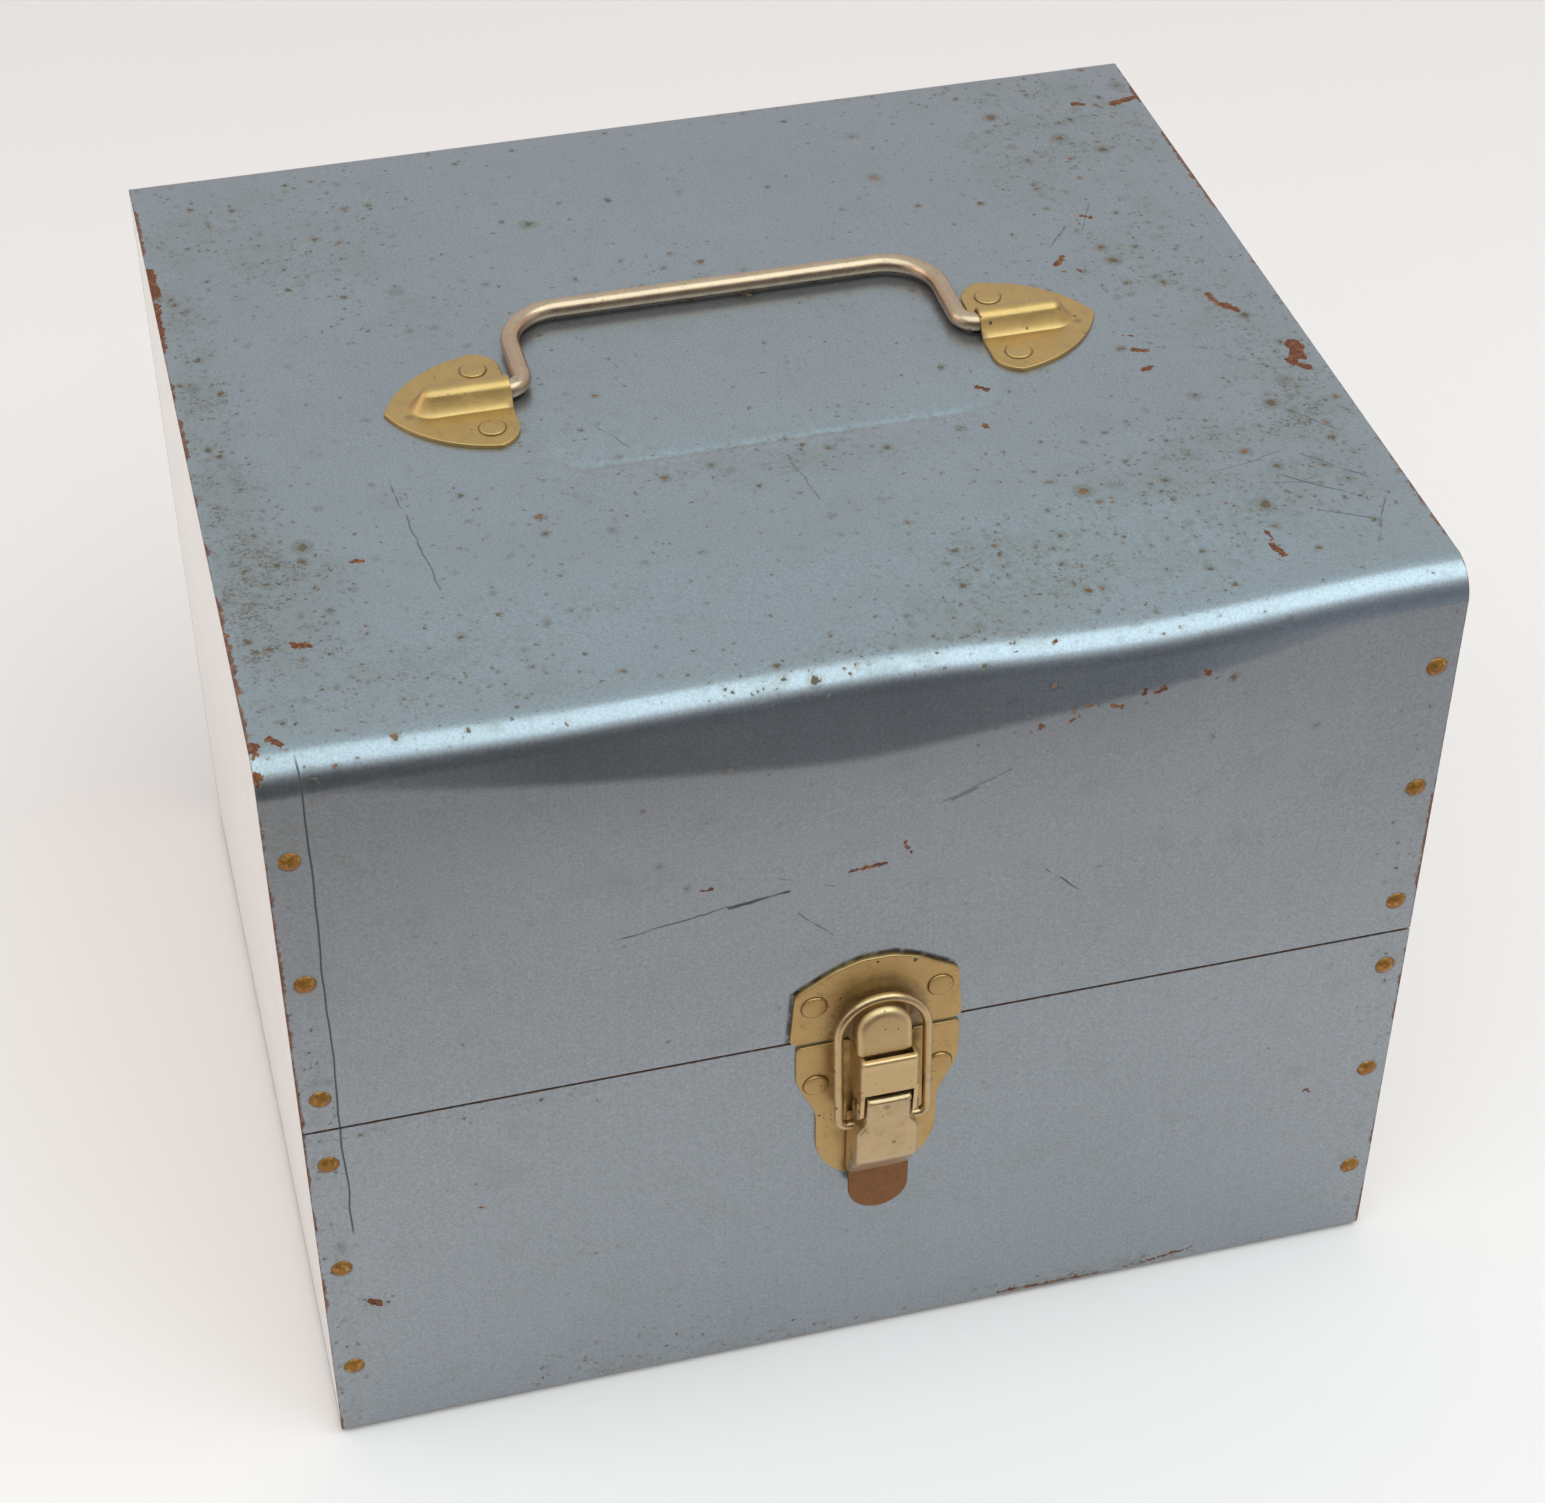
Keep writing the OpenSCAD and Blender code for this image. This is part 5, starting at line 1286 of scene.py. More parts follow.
def bracket_faces():
    """Outside and inside of the bracket: a U carried down the plate. Its ends roll in by
    (1 - cos) while they move on by (1 - sin), and a low bell swells its brow."""
    path = u_line(BRACKET_HALF, 0.5, BRACKET_OUT, 1.1, 90)
    inner = u_line(BRACKET_HALF - BRACKET_SHEET, 0.5, BRACKET_OUT - BRACKET_SHEET, 0.25, 90)
    q = np.linspace(0, np.pi / 2, 6)
    ups = np.concatenate([BRACKET_TOP - 0.45 * (1 - np.sin(q))[::-1],
                          np.linspace(BRACKET_TOP - 0.9, BRACKET_FOOT + 0.3, 12),
                          BRACKET_FOOT + 0.3 * (1 - np.sin(q))])[:, None]
    lean = np.concatenate([0.45 * (1 - np.cos(q))[::-1], np.zeros(12), 0.3 * (1 - np.cos(q))])[:, None]
    brow = 0.36 * bell((ups - BRACKET_TOP + 0.85) / 0.7)
    across, out = path.T[:, None]
    outside = np.stack([across * (1 - lean / BRACKET_HALF), ups + 0 * across,
                        out - lean * ease((out - 8) / 2) + brow * ease((out - BRACKET_OUT + 0.6) / 0.5)], -1)
    across, out = inner.T[:, None]
    return outside, np.stack([across + 0 * ups, ups + 0 * across, out + 0 * ups], -1)


def pin_skin(pin_out, pin_up):
    """Lever's pin with a low crowned cap at each end."""
    half = BRACKET_HALF + 0.75
    cap = [(0, half), (1.2, half - 0.06), (2.0, half - 0.22), (CAP_R, half - 0.5), (CAP_R, half - 0.78),
           (1.18, half - 0.8)]
    return Skin().grid(turned_pin(cap, (LATCH_SHIFT, FRONT - pin_out, SEAM + pin_up)), wrap=True)


def lever_skin(top, crest_out, knee_out, foot_out, pin_out, pin_up):
    """Channel of sheet: at each height a U of two cheeks and a front. Its front falls straight from the
    crest to the knee and on to the foot; the two lines meet in a soft corner, as minus the logarithm of
    the sum of their exponentials. It widens by a smooth step below its neck."""
    q = np.linspace(0, np.pi / 2, 8)
    ups = np.concatenate([top - LEVER_ROLL * (1 - np.sin(q[::-1])),
                          np.linspace(top - LEVER_ROLL, top - 3, 9)[1:],
                          np.linspace(top - 3, KNEE + 2, 26)[1:], np.linspace(KNEE + 2, KNEE - 2, 13)[1:],
                          np.linspace(KNEE - 2, LEVER_FOOT, 16)[1:]])
    fall = knee_out + (crest_out - 0.3 - knee_out) * (ups - KNEE) / (top - 1 - KNEE)
    slant = knee_out + (knee_out - foot_out) * (ups - KNEE) / (KNEE - LEVER_FOOT)
    soft, level = 0.35, 8
    face = level - soft * np.log(np.exp(-(fall - level) / soft) + np.exp(-(slant - level) / soft))
    face = face + 0.42 * bell((ups - top + 0.95) / 0.75) - 0.12
    face[:len(q)] -= LEVER_ROLL * (1 - np.cos(q[::-1]))
    face = np.minimum(face, crest_out - 0.02)
    half = NECK + (WIDE - NECK) * ease((-19.5 - ups) / 3.6)
    back = 1.85 + (pin_out - 2.9 - 1.85) * ease((ups - (pin_up - 7)) / 3.5)
    rows, inner = [], []
    for u, f, w, b in zip(ups, face, half, back):
        line = u_line(w, b, f, min(1.0, (f - b) * 0.45), 80)
        crown = 0.16 * (1 - (line[:, 0] / w) ** 2) * ease((line[:, 1] - f + 0.5) / 0.4)
        rows.append(np.stack([line[:, 0], u + 0 * crown, line[:, 1] + crown - 0.2], -1))
        out = max(f - LEVER_SHEET, b + 0.05)
        line = u_line(w - LEVER_SHEET, b, out, min(0.3, (out - b) * 0.4), 80)
        inner.append(np.stack([line[:, 0], min(u, top - LEVER_SHEET) + 0 * line[:, 0], line[:, 1] - 0.2], -1))
    rows[:0] = [rows[0] * [0.8, 1, 1] - [0, 0, 0.35]]
    inner[:0] = [inner[0]]
    return front_sheet(Skin(), np.stack(rows), np.stack(inner), wrap=False)


def tab_skin(out):
    """Thumb tab: a strip with a half-round end and a slightly uneven face."""
    turn = np.linspace(0, -np.pi, 40)
    centre, head = TAB_LOW + TAB_HALF, LEVER_FOOT + 2.5
    end = np.stack([TAB_HALF * np.cos(turn), centre + TAB_HALF * np.sin(turn)], -1)
    outline = even_line(np.vstack([[[TAB_HALF, head]], end, [[-TAB_HALF, head]]]), 160, closed=True)
    faces = pressed_plate(outline, (0, centre + 1.5), lambda a, b: 0.88 + 0.05 * ripples(a, b, 5, 4, 5, 12),
                          0.85, 0.25, 16)
    return front_sheet(Skin(), *(p + [0, 0, out] for p in faces))


def loop_skin():
    """Wire bent to a half-round arch on two arms, with its ends turned in through the lever."""
    low, high = cad_box("latch_loop")
    foot_out, top_out = FRONT - low[1] - LOOP_R, FRONT - high[1] + LOOP_R
    arm, rise = high[0] - LOOP_R, high[2] - low[2] - 2 * LOOP_R
    line = bent_line([(5.8, 0), (arm, 0), (arm, rise), (-arm, rise), (-arm, 0), (-5.8, 0)],
                     [2.0, arm - 0.01, arm - 0.01, 2.0], 30)
    line = even_line(line, 220)
    risen = line[:, 1] / rise
    out = foot_out + (top_out - foot_out) * risen
    path = np.stack([line[:, 0] + LATCH_SHIFT * (1 - 0.7 * risen), FRONT - out,
                     low[2] + LOOP_R + line[:, 1]], -1)
    across = np.cross([1.0, 0, 0], [0, foot_out - top_out, rise])
    return Skin().grid(tube(path, LOOP_R - 0.01, across, 28), wrap=True)


class SEWINGBOX_OT_latch(bpy.types.Operator):
    """Press and bend the draw latch: catch, base plate, bracket, lever, tab and wire loop"""
    bl_idname = "sewing_box.latch"
    bl_label = "Draw latch"

    def execute(self, context):
        s = context.scene.sewing_box_hardware
        plate_t, edge, rivet = s.plate / MM, s.edge / MM, s.rivet / MM
        rng = np.random.default_rng(SEED + 8)
        rivets_high = cad_box("catch_rivets")[1]
        rivet_x = rivets_high[0] - RIVET_R
        rivet_z = {body: float(sum(corner[2] for corner in cad_box(node)) / 2)
                   for body, node in (("lid", "catch_rivets"), ("base", "latch_base_rivets"))}
        shift = {"lid": 0.0, "base": LATCH_SHIFT}
        rings = {body: both_hands(rivet_x, FRONT - plate_t, rivet_z[body], RIVET_R, 0.30, 0.8,
                                  shift=shift[body]) for body in shift}

        low, high = cad_box("catch_plate")
        skin = catch_skin(high[0], high[2] - SEAM, FRONT - low[1] + NOSE_EXTRA, plate_t, edge, s.swell / MM)
        # Dark ring along the loop's arch on the plate: painted shadow of the wire, with tarnish
        arch_shadow_and_tarnish = (0.2, FRONT + 10.0, SEAM + 5.2, 14.2, 2.0, 0.72)
        # The nose gets a painted highlight
        coat = gold_coat("catch_gold", LATCH_GOLD, LATCH_TARNISH, 1.4, 0.42, rings=rings["lid"] + [arch_shadow_and_tarnish],
                         paler=3.5)
        make_piece("catch_shield", skin, [coat], "lid", ["catch_plate"])

        low, high = cad_box("latch_base")
        pin = sum(cad_box("lever_pin")) / 2
        pin_out, pin_up = FRONT - pin[1], pin[2] - SEAM
        skin = base_plate_skin(high[0], SEAM - low[2], plate_t, edge, pin_out, pin_up)
        # Painted shade beside the bracket and under its foot; its front, far out, gets a painted highlight
        shade = [(t * 8.6, FRONT - 1.5, SEAM - z, 2.6) for t in (-1, 1) for z in (4, 9, 14, 19)]
        shade += [(t * 5.5, FRONT - 9.5, SEAM - 10.6, 1.6) for t in (-1, 0, 1)]
        coat = gold_coat("latch_gold", LATCH_GOLD, LATCH_TARNISH, 1.2, 0.42, shade, rings["base"], 7.0)
        make_piece("latch_shield", skin, [coat], "base", ["latch_base"])

        coat = gold_coat("latch_rivet_gold", tuple(s.gold), (0.48, 0.35, 0.18), 2.0, 0.42)
        for body, tall, node, name in (("lid", rivet * 1.0, "catch_rivets", "catch_rivet_heads"),
                                       ("base", rivet * 1.35, "latch_base_rivets", "latch_rivet_heads")):
            places = both_hands(rivet_x, FRONT - plate_t, rivet_z[body], shift=shift[body])
            skin = heads(places, "front", disc_outline(RIVET_R - 0.1, tall, tall * 0.8, 0.3), 40, rng)
            make_piece(name, skin, [coat], body, [node])
        steel = steel_coat("lever_pivot_steel", (0.26, 0.16, 0.07), (0.50, 0.35, 0.18))
        make_piece("lever_pivot", pin_skin(pin_out, pin_up), [steel], "base", ["lever_pin"])

        low, high = cad_box("latch_lever")
        top, crest_out, knee_out, foot_out = high[2] - SEAM, FRONT - low[1], pin_out + 2.8, pin_out - 3.2
        # Painted shadow of the bracket across the lever's top, and painted shade low on its sides and at its
        # foot
        grime_and_shade = [(0, FRONT - crest_out + 0.6, SEAM + top - 2.4, 1.3), (-6.6, FRONT - 6, SEAM - 33, 2.6),
                 (-6.6, FRONT - 5, SEAM - 38, 3.2), (6.5, FRONT - 4.5, SEAM - 40.5, 1.6),
                 (0, FRONT - 4.5, SEAM - 41, 1.5)]
        coat = gold_coat("lever_gold", (0.56, 0.39, 0.21), (0.47, 0.30, 0.13), 1.3, 0.38, grime_and_shade)
        make_piece("lever_channel", lever_skin(top, crest_out, knee_out, foot_out, pin_out, pin_up), [coat],
                   "lever", ["latch_lever"])
        make_piece("lever_thumb_tab", tab_skin(foot_out - 1.0), [bronze_coat()], "lever")
        coat = gold_coat("loop_wire", (0.55, 0.38, 0.19), (0.42, 0.27, 0.12), 1.2, 0.30)
        make_piece("latch_wire_loop", loop_skin(), [coat], "loop", ["latch_loop"])
        return {"FINISHED"}


# ---------- hinges ----------

# Hinges: width, sheet, gap from the seam to a leaf, radius of the knuckles, axis off the back
HINGE_W, LEAF_T, LEAF_START, KNUCKLE_R, AXIS_OUT = 32.0, 1.2, 3.5, 2.98, 3.3


def add_leaf(skin, x, tall, side):
    """Adds one leaf of sheet with round corners, from its knuckles to its free end."""
    a0, a1 = x - HINGE_W / 2, x + HINGE_W / 2
    corners = [(x, LEAF_START), (a1, LEAF_START), (a1, tall), (a0, tall), (a0, LEAF_START), (x, LEAF_START)]
    outline = even_line(bent_line(corners, [0.4, 2.5, 2.5, 0.4]), 200, closed=True)
    middle = (x, (tall + LEAF_START) / 2)
    faces = pressed_plate(outline, middle, lambda a, b: LEAF_T + 0 * a, LEAF_T, 0.3, 8)
    skin.sheet(*(on_back(p * [1, side, 1]) for p in faces), wrap=True)


def knuckle(x0, x1, side):
    """Knuckle and its neck: a tube section rolled from the leaf. Its side outline runs along the leaf's
    back, round the pin and back to the leaf, and is carried along X with eased ends."""
    a = np.linspace(np.pi, -np.pi * 0.72, 40)
    ring = np.stack([AXIS_OUT + KNUCKLE_R * np.cos(a), side * -KNUCKLE_R * np.sin(a)], -1)
    neck = side * LEAF_START * 1.15
    outline = even_line(np.vstack([ring, [[LEAF_T, neck], [0.02, neck]]]), 90, closed=True)
    centre = outline.mean(0)
    q = np.linspace(0, np.pi / 2, 4)
    inset, move = 0.25 * (1 - np.sin(q)), 0.25 * (1 - np.cos(q))
    inset = np.concatenate([[10.0], inset, inset[::-1], [10.0]])
    places = np.concatenate([[x0], x0 + move, x1 - move[::-1], [x1]])
    arm = outline - centre
    shares = np.maximum(1 - inset[:, None] / np.linalg.norm(arm, axis=1), 0)
    p = centre + shares[..., None] * arm
    return np.stack([places[:, None] + 0 * p[..., 0], BACK + p[..., 0], SEAM + p[..., 1]], -1)


class SEWINGBOX_OT_hinges(bpy.types.Operator):
    """Make the two butt hinges on the back"""
    bl_idname = "sewing_box.hinges"
    bl_label = "Hinges"

    def execute(self, context):
        s = context.scene.sewing_box_hardware
        coat = gold_coat("hinge_gold", tuple(s.gold), (0.50, 0.36, 0.16), 1.2, 0.42)
        half, third = HINGE_W / 2, HINGE_W / 3
        middle = cad_box("hinge_lid_leaves")[1][0] - half
        knuckles = {"lid": [(-third / 2 + 0.3, third / 2 - 0.3)],
                    "base": [(-half, -third / 2), (third / 2, half)]}
        tall = {"lid": cad_box("hinge_lid_leaves")[1][2] - SEAM,
                "base": SEAM - cad_box("hinge_base_leaves")[0][2]}
        for body, side in (("lid", 1), ("base", -1)):
            skin = Skin()
            for x in (-middle, middle):
                add_leaf(skin, x, tall[body], side)
                for k0, k1 in knuckles[body]:
                    skin.grid(knuckle(x + k0, x + k1, side), wrap=True)
            make_piece(f"hinge_{body}_plates", skin, [coat], body, [f"hinge_{body}_leaves"])
        rng = np.random.default_rng(SEED + 9)
        r, spread = 2.5, 10.0
        for body in ("base", "lid"):
            node = f"hinge_{body}_rivets"
            low, high = cad_box(node)
            near, far = (low[2] + r, high[2] - r) if body == "lid" else (high[2] - r, low[2] + r)
            places = [(x + off, BACK + LEAF_T, z) for x in (-middle, middle)
                      for off, z in ((-spread, near), (spread, near), (0, far))]
            skin = heads(places, "back", dome_outline(r, 0.68, 0.3), 32, rng)
            make_piece(f"hinge_{body}_rivet_heads", skin, [coat], body, [node])
        cap = [(0, half + 0.8), (1.2, half + 0.74), (1.8, half + 0.5), (2.0, half + 0.05), (2.0, half),
               (1.3, half)]
        skin = Skin()
        for x in (-middle, middle):
            skin.grid(turned_pin(cap, (x, BACK + AXIS_OUT, SEAM)), wrap=True)
        steel = steel_coat("hinge_pin_steel", (0.50, 0.46, 0.40), (0.70, 0.66, 0.60))
        make_piece("hinge_pivots", skin, [steel], "base", ["hinge_pins"])
        return {"FINISHED"}


# ---------- rails and trays ----------

# Trays' sheet and its bends; heads of the screws and the trays' nails; pegs and their feet
TRAY_SHEET, TRAY_BEND_R = 0.7, 1.6
SCREW_R, TRAY_NAIL_R = 2.6, 1.4
PEG_R, PEG_FOOT_R, PEG_COUNT = 2.4, 4.4, 6


def pan_sheet(low, high):
    """Outside and inside of a tray's sheet: a U of front, floor and back with round bends."""
    y0, y1, z0, z1 = low[1], high[1], low[2], high[2]
    x = np.linspace(low[0], high[0], 40)[None, :]
    grids = []
    for t in (0, TRAY_SHEET):
        p = bent_line([(y0 + t, z1), (y0 + t, z0 + t), (y1 - t, z0 + t), (y1 - t, z1)],
                      [TRAY_BEND_R - t] * 2, 8)
        p = np.vstack([np.linspace(p[0], p[1], 8)[:-1], p[1:9], np.linspace(p[8], p[9], 16)[1:-1], p[9:17],
                       np.linspace(p[16], p[17], 8)[1:]])
        grids.append(np.stack([x + 0 * p[:, :1], p[:, :1] + 0 * x, p[:, 1:] + 0 * x], -1))
    return grids


def screw_skin():
    """Slotted screw heads on the inner faces of both rails: the slot is a bell across the dome."""
    low, high = cad_box("rail_screws")
    face = cad_box("rail_right")[0][0]
    head = turned(dome_outline(SCREW_R, 0.68, 0.3), 32)
    within = ease((SCREW_R * 0.98 - np.hypot(head[..., 0], head[..., 1])) / 0.2)
    head[..., 2] -= 0.35 * bell(head[..., 0] / 0.32) * within * (head[..., 2] > 0)
    skin = Skin()
    for side, way in ((-1, "right"), (1, "left")):
        for y in np.linspace(low[1] + SCREW_R, high[1] - SCREW_R, 3):
            skin.grid(facing(head, (side * face, y, (low[2] + high[2]) / 2), way), wrap=True)
    return skin


def cross_board_skin():
    """Three boards square to the long divider: two before it and one behind."""
    low, high = cad_box("lower_tray_long_divider")
    cross_low, cross_high = cad_box("lower_tray_cross_dividers")
    half, sixth = (high[1] - low[1]) / 2, (high[0] - low[0]) / 6
    skin = Skin()
    for x, y0, y1, foot in ((-sixth, cross_low[1], low[1], [1.2, 0.5]),
                            (sixth, cross_low[1], low[1], [1.2, 0.5]),
                            (0, high[1], cross_high[1], [0.5, 1.2])):
        skin.grid(eased_block((x - half, y0, cross_low[2]), (x + half, y1, cross_high[2]), 0.3,
                              foot + [0.5, 0.5], support=0.2), wrap=True)
    return skin


def peg_skin():
    """Turned spool pegs in two rows: a round top, a straight peg and a flat foot."""
    low, high = cad_box("spool_pegs")
    floor = low[2] + TRAY_SHEET
    tall, foot = high[2] - floor, PEG_FOOT_R
    side = [(PEG_R * math.sin(a), tall - PEG_R + PEG_R * math.cos(a)) for a in np.linspace(0, np.pi / 2, 7)]
    side += [(PEG_R, 2.6), (PEG_R + 0.25, 2.2), (foot - 0.4, 2.0), (foot - 0.1, 1.9), (foot, 1.6),
             (foot, 0.0), (0, 0.0)]
    skin = Skin()
    for x in np.linspace(low[0] + foot, high[0] - foot, PEG_COUNT):
        for y in (low[1] + foot, high[1] - foot):
            skin.grid(facing(turned(side, 28), (x, y, floor), "top"), wrap=True)
    return skin


class SEWINGBOX_OT_trays(bpy.types.Operator):
    """Fit the rails and fold the two trays"""
    bl_idname = "sewing_box.trays"
    bl_label = "Rails and trays"

    def execute(self, context):
        wood, s = context.scene.sewing_box_wood, context.scene.sewing_box_trays
        edge = wood.edge / MM
        pine = {way: pine_coat(f"pine_{way}", tuple(wood.pine), way) for way in "xyz"}
        enamel, brass = tray_coat(tuple(s.colour)), nail_coat("screw_head_brass")
        for hand in ("left", "right"):
            make_board(f"rail_wood_{hand}", f"rail_{hand}", pine["y"], "base", edge, axis=1)
        make_piece("rail_screw_heads", screw_skin(), [brass], "base", ["rail_screws"])
        rng = np.random.default_rng(SEED + 10)
        for tray in ("lower_tray", "upper_tray"):
            low, high = cad_box(f"{tray}_pan")
            make_piece(f"{tray}_sheet", Skin().sheet(*pan_sheet(low, high)), [enamel], tray,
                       [f"{tray}_pan"])
            for hand in ("left", "right"):
                make_board(f"{tray}_wood_{hand}", f"{tray}_end_{hand}", pine["y"], tray, edge,
                           [1.3, 1.3, 1.2, 1.2])
            n_low, n_high = cad_box(f"{tray}_nails")
            n_low, n_high = n_low + TRAY_NAIL_R, n_high - TRAY_NAIL_R
            skin = Skin()
            for x in (-n_high[0], n_high[0]):
                for way, y in (("front", low[1]), ("back", high[1])):
                    places = [(x, y, z) for z in (n_low[2], n_high[2])]
                    heads(places, way, dome_outline(TRAY_NAIL_R, 0.38, 0.3, 6), 20, rng, skin)
            make_piece(f"{tray}_nail_heads", skin, [brass], tray, [f"{tray}_nails"])
        make_board("lower_tray_long_board", "lower_tray_long_divider", pine["x"], "lower_tray", 0.4)
        make_piece("lower_tray_cross_boards", cross_board_skin(), [pine["y"]], "lower_tray",
                   ["lower_tray_cross_dividers"])
        make_piece("spool_peg_turnings", peg_skin(), [pine["z"]], "upper_tray", ["spool_pegs"])
        return {"FINISHED"}


# ---------- stage ----------

# Floor: half its width and its height, in metres; it lies just under the box
FLOOR_HALF, FLOOR_UNDER = 30.0, -0.0002
# Dark cards in front of the box, in metres: where the dark begins, where it stands up, sizes
CARD_EDGE, CARD_FAR, CARD_HALF, CARD_TALL = -0.42, -1.5, 2.4, 0.92
# Lamps: name, place, target, size, share of the overhead power, colour
LAMPS = [("overhead", (0.0, -0.66, 1.45), (0.0, -0.66, 0.0), (2.6, 1.48), 1.04, (0.76, 0.955, 1.0)),
         ("right_wing", (0.85, -0.72, 1.43), (0.85, -0.72, 0.0), (1.5, 1.5), 0.20, (0.76, 0.92, 1.0)),
         ("far_right_wing", (1.1, -0.70, 1.41), (1.1, -0.70, 0.0), (1.2, 1.4), 0.12, (0.77, 0.92, 1.0)),
         ("left_fill", (-1.6, 0.2, 0.9), (0, 0, 0.1), (1.0, 1.0), 0.25, (1.0, 0.93, 0.88))]
# Camera: place in metres, directions of its right and its back, lens and sensor in millimetres
CAMERA_PLACE = (-0.14915, -0.58923, 0.60751)
CAMERA_RIGHT = (0.96735, -0.25343, 0.00185)
CAMERA_BACK = (-0.19396, -0.73563, 0.64902)
CAMERA_LENS = 74.70
SENSOR = 36.0


def stage_plane(name, corners, coat):
    """Flat sheet of the stage from its four corners, in metres."""
    mesh = bpy.data.meshes.new(name)
    mesh.from_pydata(corners, [], [(0, 1, 2, 3)])
    mesh.materials.append(coat)
    made = bpy.data.objects.new(name, mesh)
    bpy.context.scene.collection.objects.link(made)
    return made


def floor_coat(colour):
    """Plain pale floor that shows the same pale colour far away, to the eye and in polished metal."""
    c = Coat("pale_floor", Roughness=0.9)
    c.finish(Base_Color=(*colour, 1.0))
    glow = c.node("ShaderNodeEmission", {}, {"Color": (*colour, 1.0), "Strength": 1.0})
    far = c.step(c.vector("LENGTH", c.p, out=1), 600.0, 1900.0) * c.seen()
    shown = c.node("ShaderNodeMixShader", {}, {0: far, 1: c.surface, 2: glow})
    c.tree.links.new(shown.socket, c.output.inputs["Surface"])
    return c.material


def lamp(name, place, target, size, power, colour):
    """Rectangular lamp that faces a point."""
    data = bpy.data.lights.new(name, "AREA")
    data.shape, data.size, data.size_y = "RECTANGLE", *size
    data.energy, data.color = power, colour
    made = bpy.data.objects.new(name, data)
    made.location = place
    made.rotation_euler = (Vector(target) - Vector(place)).to_track_quat("-Z", "Y").to_euler()
    bpy.context.scene.collection.objects.link(made)


def card_coat(floor):
    """Card that the polished lacquer mirrors: pale near the box, then dark, less so to the right."""
    c = Coat("dark_card", Roughness=0.9)
    edge = CARD_EDGE / MM
    dim = c.mix(c.step(c.y, edge + 240, edge + 60), floor, (0.55, 0.475, 0.435))
    dark = c.mix(c.step(c.x + c.y * 0.35, -180, 220), (0.050, 0.043, 0.042), (0.34, 0.38, 0.45))
    return c.finish(Base_Color=c.mix(c.step(c.y, edge + 60, edge), dim, dark))


def light_room(world, sky):
    """Room light: as a lamp it gives one soft tone; to the eye and in polished metal, another."""
    world.use_nodes = True
    n = Nodes(world.node_tree)
    up = n.node("ShaderNodeSeparateXYZ", {}, {0: n.node("ShaderNodeTexCoord", out="Generated")}).output(2)
    seen = n.seen()
    room = n.mix(n.step(up, 0.0, 0.7), (0.84, 0.725, 0.68), (1.0, 0.95, 0.93))
    shown = n.mix(n.step(up, 0.42, 0.70), (0.74, 0.70, 0.70), (0.82, 0.98, 1.0))
    light = n.node("ShaderNodeBackground", {}, {0: n.mix(seen, room, shown), 1: seen * (1 - sky) + sky})
    n.node("ShaderNodeOutputWorld", {}, {"Surface": light})


def set_camera(scene):
    """Camera from its place and the directions of its right and its back."""
    right, back = Vector(CAMERA_RIGHT), Vector(CAMERA_BACK)
    data = bpy.data.cameras.new("camera")
    data.lens, data.sensor_width, data.sensor_fit = CAMERA_LENS, SENSOR, "AUTO"
    camera = bpy.data.objects.new("camera", data)
    camera.matrix_world = Matrix((right, back.cross(right), back)).transposed().to_4x4()
    camera.location = CAMERA_PLACE
    scene.collection.objects.link(camera)
    scene.camera = camera


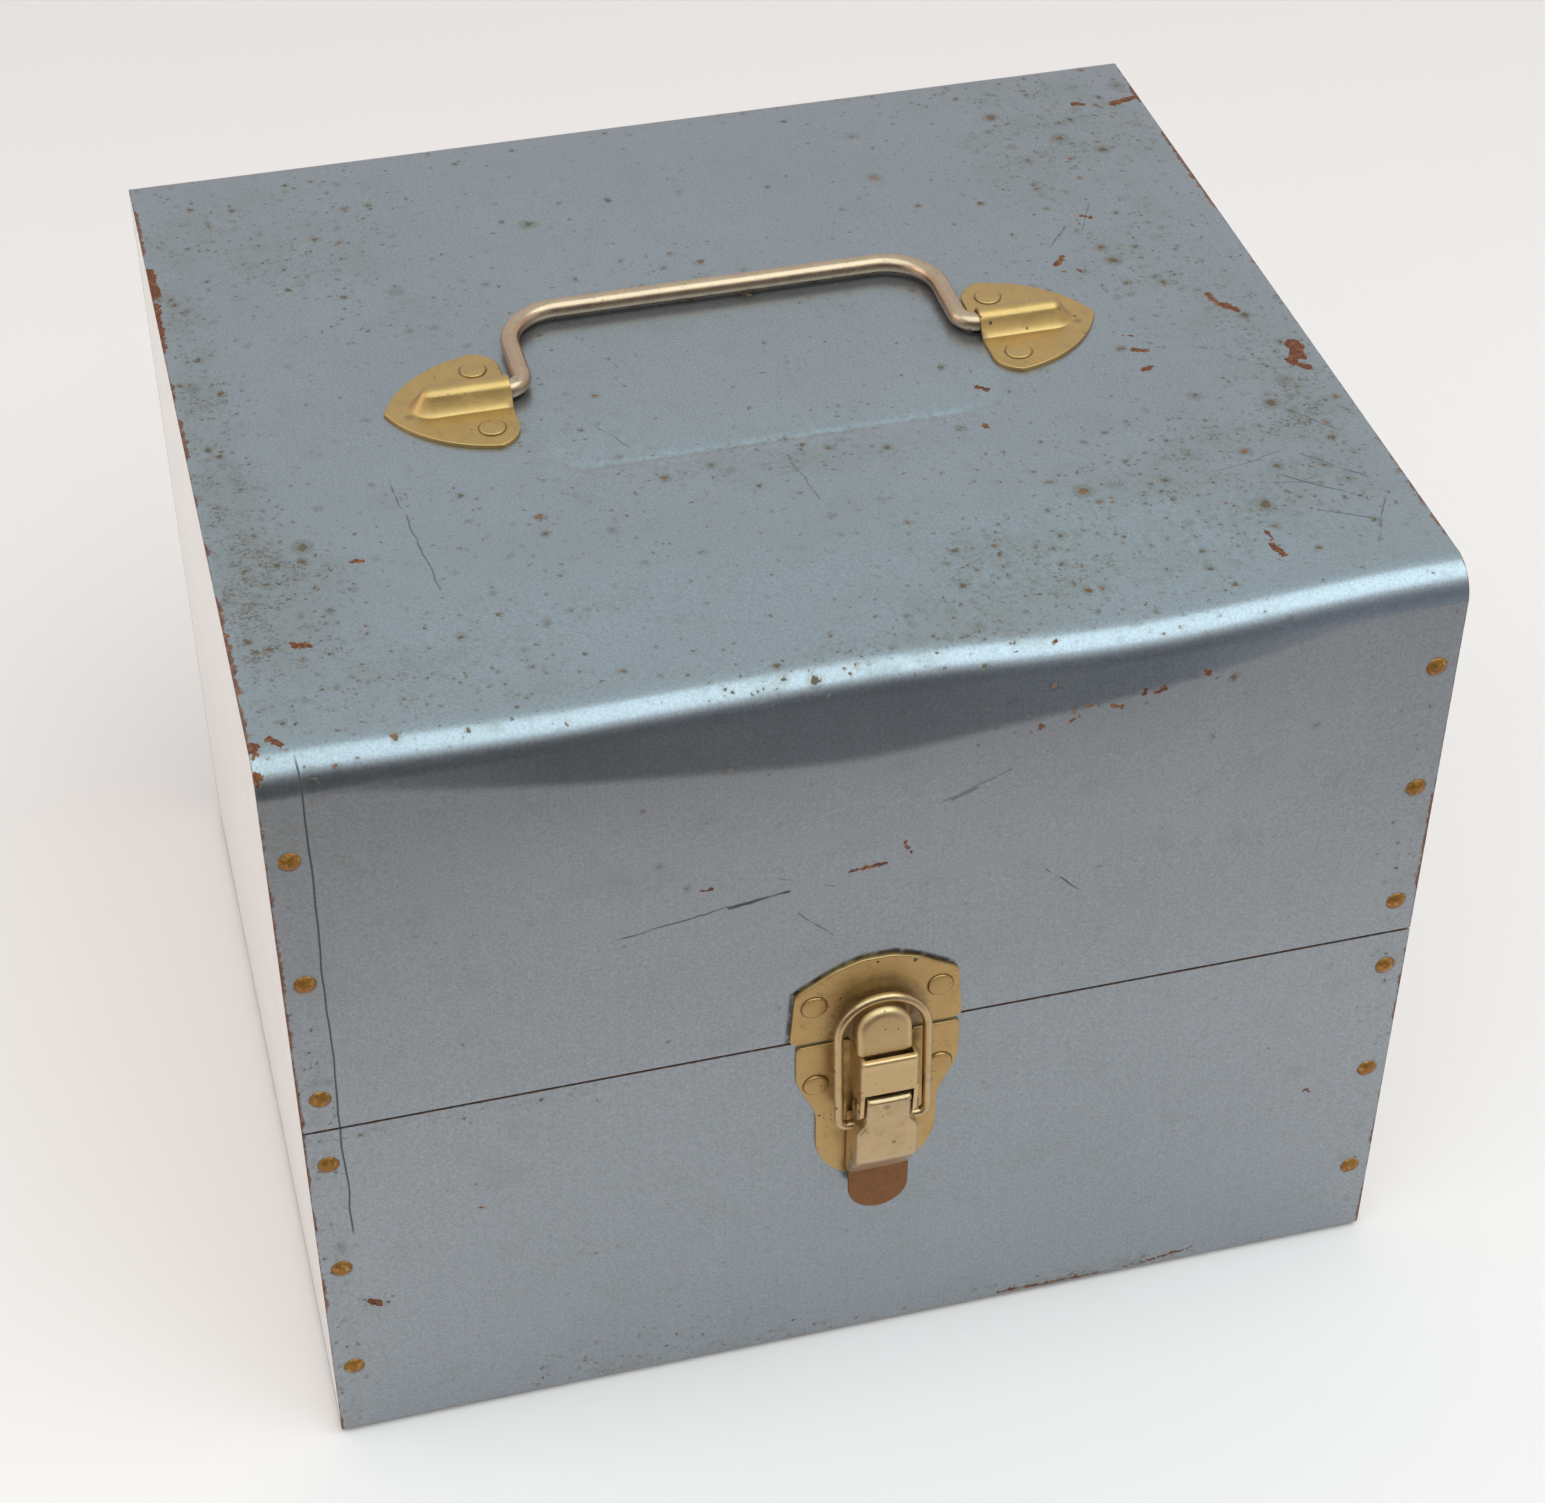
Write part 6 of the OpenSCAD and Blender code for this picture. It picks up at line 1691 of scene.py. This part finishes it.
class SEWINGBOX_OT_stage(bpy.types.Operator):
    """Lay the floor, hang the lamps and set the camera"""
    bl_idname = "sewing_box.stage"
    bl_label = "Stage"

    def execute(self, context):
        scene = context.scene
        s = scene.sewing_box_stage
        floor = tuple(s.floor)
        w, z = FLOOR_HALF, FLOOR_UNDER
        stage_plane("floor", [(-w, -w, z), (w, -w, z), (w, w, z), (-w, w, z)], floor_coat(floor))
        card = card_coat(floor)
        w, near, far, tall = CARD_HALF, CARD_EDGE + 0.24, CARD_FAR, CARD_TALL
        cards = [("front_card_low", [(-w, near, 0.001), (w, near, 0.001), (w, far, 0.001), (-w, far, 0.001)]),
                 ("front_card_high", [(-w, far, 0.0), (w, far, 0.0), (w, far, tall), (-w, far, tall)])]
        for name, corners in cards:
            made = stage_plane(name, corners, card)
            made.visible_camera = made.visible_shadow = made.visible_diffuse = False
        scene.world = bpy.data.worlds.new("room")
        light_room(scene.world, s.sky)
        for name, place, target, size, power, colour in LAMPS:
            lamp(name, place, target, size, s.key * power, colour)
        scene.view_settings.view_transform = "Standard"
        set_camera(scene)
        return {"FINISHED"}


# ---------- panel, registration and run ----------

SETTINGS = {"sewing_box_sheets": SheetSettings, "sewing_box_wood": WoodSettings,
            "sewing_box_hardware": HardwareSettings, "sewing_box_trays": TraySettings,
            "sewing_box_stage": StageSettings}
OPERATORS = [SEWINGBOX_OT_stage, SEWINGBOX_OT_sheets, SEWINGBOX_OT_ends, SEWINGBOX_OT_nails,
             SEWINGBOX_OT_handle, SEWINGBOX_OT_latch, SEWINGBOX_OT_hinges, SEWINGBOX_OT_trays]


class SEWINGBOX_PT_panel(bpy.types.Panel):
    """Lists the makers of the box's pieces"""
    bl_idname = "SEWINGBOX_PT_panel"
    bl_label = "Sewing box"
    bl_space_type = "VIEW_3D"
    bl_region_type = "UI"
    bl_category = "Sewing box"

    def draw(self, context):
        for maker in OPERATORS:
            self.layout.operator(maker.bl_idname)
        for group in SETTINGS:
            box = self.layout.box()
            settings = getattr(context.scene, group)
            for prop in settings.__annotations__:
                box.prop(settings, prop)


def register():
    for kind in [*SETTINGS.values(), *OPERATORS, SEWINGBOX_PT_panel]:
        bpy.utils.register_class(kind)
    for name, kind in SETTINGS.items():
        setattr(bpy.types.Scene, name, bpy.props.PointerProperty(type=kind))


def unregister():
    for name in SETTINGS:
        delattr(bpy.types.Scene, name)
    for kind in reversed([*SETTINGS.values(), *OPERATORS, SEWINGBOX_PT_panel]):
        bpy.utils.unregister_class(kind)


def main():
    register()
    for maker in OPERATORS:
        group, name = maker.bl_idname.split(".")
        getattr(getattr(bpy.ops, group), name)()
    bpy.context.view_layer.update()


if __name__ == "__main__":
    main()
